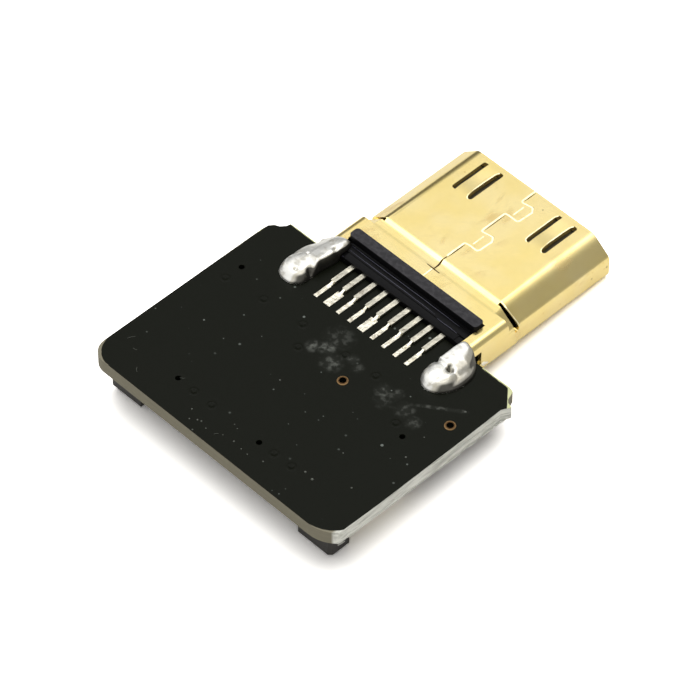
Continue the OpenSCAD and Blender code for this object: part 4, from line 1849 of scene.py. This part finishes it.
@dataclass
class Studio:
    """Camera, lamp, surroundings and the table that the part rests on.

    The heel and the lip are the Y and Z of the two edges that touch the table. A sky is its brightness at
    each height, from 0 at the horizon to 1 overhead.
    """

    azimuth: float = 45.51
    elevation: float = 48.22
    roll: float = 0.12
    distance: float = 243.31
    aim: tuple[float, float, float] = (0.384, -2.267, 2.8)
    lens: float = 253.2
    heel: Pair = (-5.2, 0.0)
    lip: Pair = (11.5, 1.2)
    table_half: float = 400.0
    table_gap: float = 0.004
    lamp_place: tuple[float, float, float] = (-30.0, 40.0, 260.0)
    lamp_side: float = 320.0
    lamp_watts: float = 0.68
    fill: float = 0.45
    left_sky: Corners = (
        (0.0, 0.3),
        (0.05, 0.17),
        (0.35, 0.16),
        (0.55, 0.34),
        (0.64, 0.5),
        (0.71, 1.06),
        (0.8, 1.1),
        (0.85, 1.3),
        (0.872, 3.6),
        (0.9, 3.6),
        (0.94, 1.1),
    )
    right_sky: Corners = (
        (0.0, 0.5),
        (0.3, 0.44),
        (0.5, 0.38),
        (0.62, 0.36),
        (0.7, 0.46),
        (0.78, 0.85),
        (0.83, 1.25),
        (0.865, 2.6),
        (0.9, 2.6),
        (0.94, 1.1),
    )
    near_sky: Corners = (
        (0.0, 1.0),
        (0.8, 1.15),
        (0.85, 1.3),
        (0.872, 3.2),
        (0.9, 3.2),
        (0.94, 1.1),
    )

    def set_camera(self) -> None:
        """Stands the camera at the photograph's place. Azimuth turns from -Y towards +X."""
        data = bpy.data.cameras.new("camera")
        data.lens = self.lens
        data.sensor_width = 36.0
        data.clip_start = 0.01
        data.clip_end = 10.0
        camera = add_object("camera", data)
        azimuth, elevation = math.radians(self.azimuth), math.radians(self.elevation)
        level = math.cos(elevation)
        away = Vector((math.sin(azimuth) * level, -math.cos(azimuth) * level, math.sin(elevation)))
        camera.location = (Vector(self.aim) + away * self.distance) * MM
        roll = Matrix.Rotation(math.radians(self.roll), 3, "Z")
        camera.rotation_euler = (away.to_track_quat("Z", "Y").to_matrix() @ roll).to_euler()
        bpy.context.scene.camera = camera

    def lay_table(self) -> None:
        """Lays the table on the part's two lowest edges, the connector's heel and the plug's lip."""
        (heel_y, heel_z), (lip_y, lip_z) = self.heel, self.lip
        step = np.linspace(-self.table_half, self.table_half, 9)
        x, y = np.meshgrid(step, step, indexing="ij")
        z = heel_z + (y - heel_y) * (lip_z - heel_z) / (lip_y - heel_y) - self.table_gap
        points = np.stack([x, y, z], axis=2).reshape(-1, 3)
        table = raise_mesh("table", points, grid_quads(len(step), len(step))[:, ::-1])
        paint = Paint("table_top")
        camera, glossy = paint.rays()
        colour = paint.mix(glossy, (0.9, 0.885, 0.865, 1.0), (0.82, 0.81, 0.79, 1.0))
        colour = paint.mix(camera, colour, (1.9, 1.86, 1.8, 1.0))
        shader = paint.node("ShaderNodeBsdfDiffuse", None, {"Color": colour})
        paint.close("ShaderNodeOutputMaterial", shader)
        table.data.materials.append(paint.material)

    def light(self) -> None:
        """Sets the surroundings: a bright ceiling, a darker horizon and a bright card behind the camera."""
        paint = Paint("surroundings", world=True)
        bpy.context.scene.world = paint.material
        coords = paint.node("ShaderNodeTexCoord", None, None, "Generated")
        parts = [paint.node("ShaderNodeSeparateXYZ", None, {0: coords}, axis) for axis in range(3)]
        across, along, height = parts
        sides = []
        for sky in (self.left_sky, self.right_sky, self.near_sky):
            stops = [(place, (level, level, level, 1.0)) for place, level in sky]
            sides.append(paint.node("ShaderNodeValToRGB", {"stops": stops}, {0: height}))
        ceiling = paint.mix(across.ramp(-0.2, 0.25), sides[0], sides[1])
        ceiling = paint.mix(along.ramp(0.2, -0.15), ceiling, sides[2])
        camera, glossy = paint.rays()
        colour = paint.mix(camera, ceiling, (1.0, 1.0, 1.0, 1.0))
        strength = self.fill + (1 - self.fill) * (camera + glossy).lowest(1.0)
        shader = paint.node("ShaderNodeBackground", None, {"Color": colour, "Strength": strength})
        paint.close("ShaderNodeOutputWorld", shader)

    def hang_lamp(self) -> None:
        """Hangs a square, very large and soft lamp that points at the part and isn't mirrored in it."""
        data = bpy.data.lights.new("key_lamp", "AREA")
        data.size = self.lamp_side * MM
        data.energy = self.lamp_watts
        lamp = add_object("key_lamp", data)
        lamp.visible_glossy = False
        lamp.location = Vector(self.lamp_place) * MM
        lamp.rotation_euler = Vector(self.lamp_place).to_track_quat("Z", "Y").to_euler()


def main() -> None:
    """Loads the frame, dresses the part and sets up the studio."""
    logging.basicConfig(level=logging.INFO, format="%(name)s: %(message)s")
    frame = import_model()
    part = PlugBoard(frame["nodes"])
    part.mix_finishes()
    part.dress_nodes()
    part.add_pieces()
    studio = Studio()
    studio.set_camera()
    studio.lay_table()
    studio.light()
    studio.hang_lamp()
    bpy.context.scene.view_settings.view_transform = "Standard"


if __name__ == "__main__":
    main()
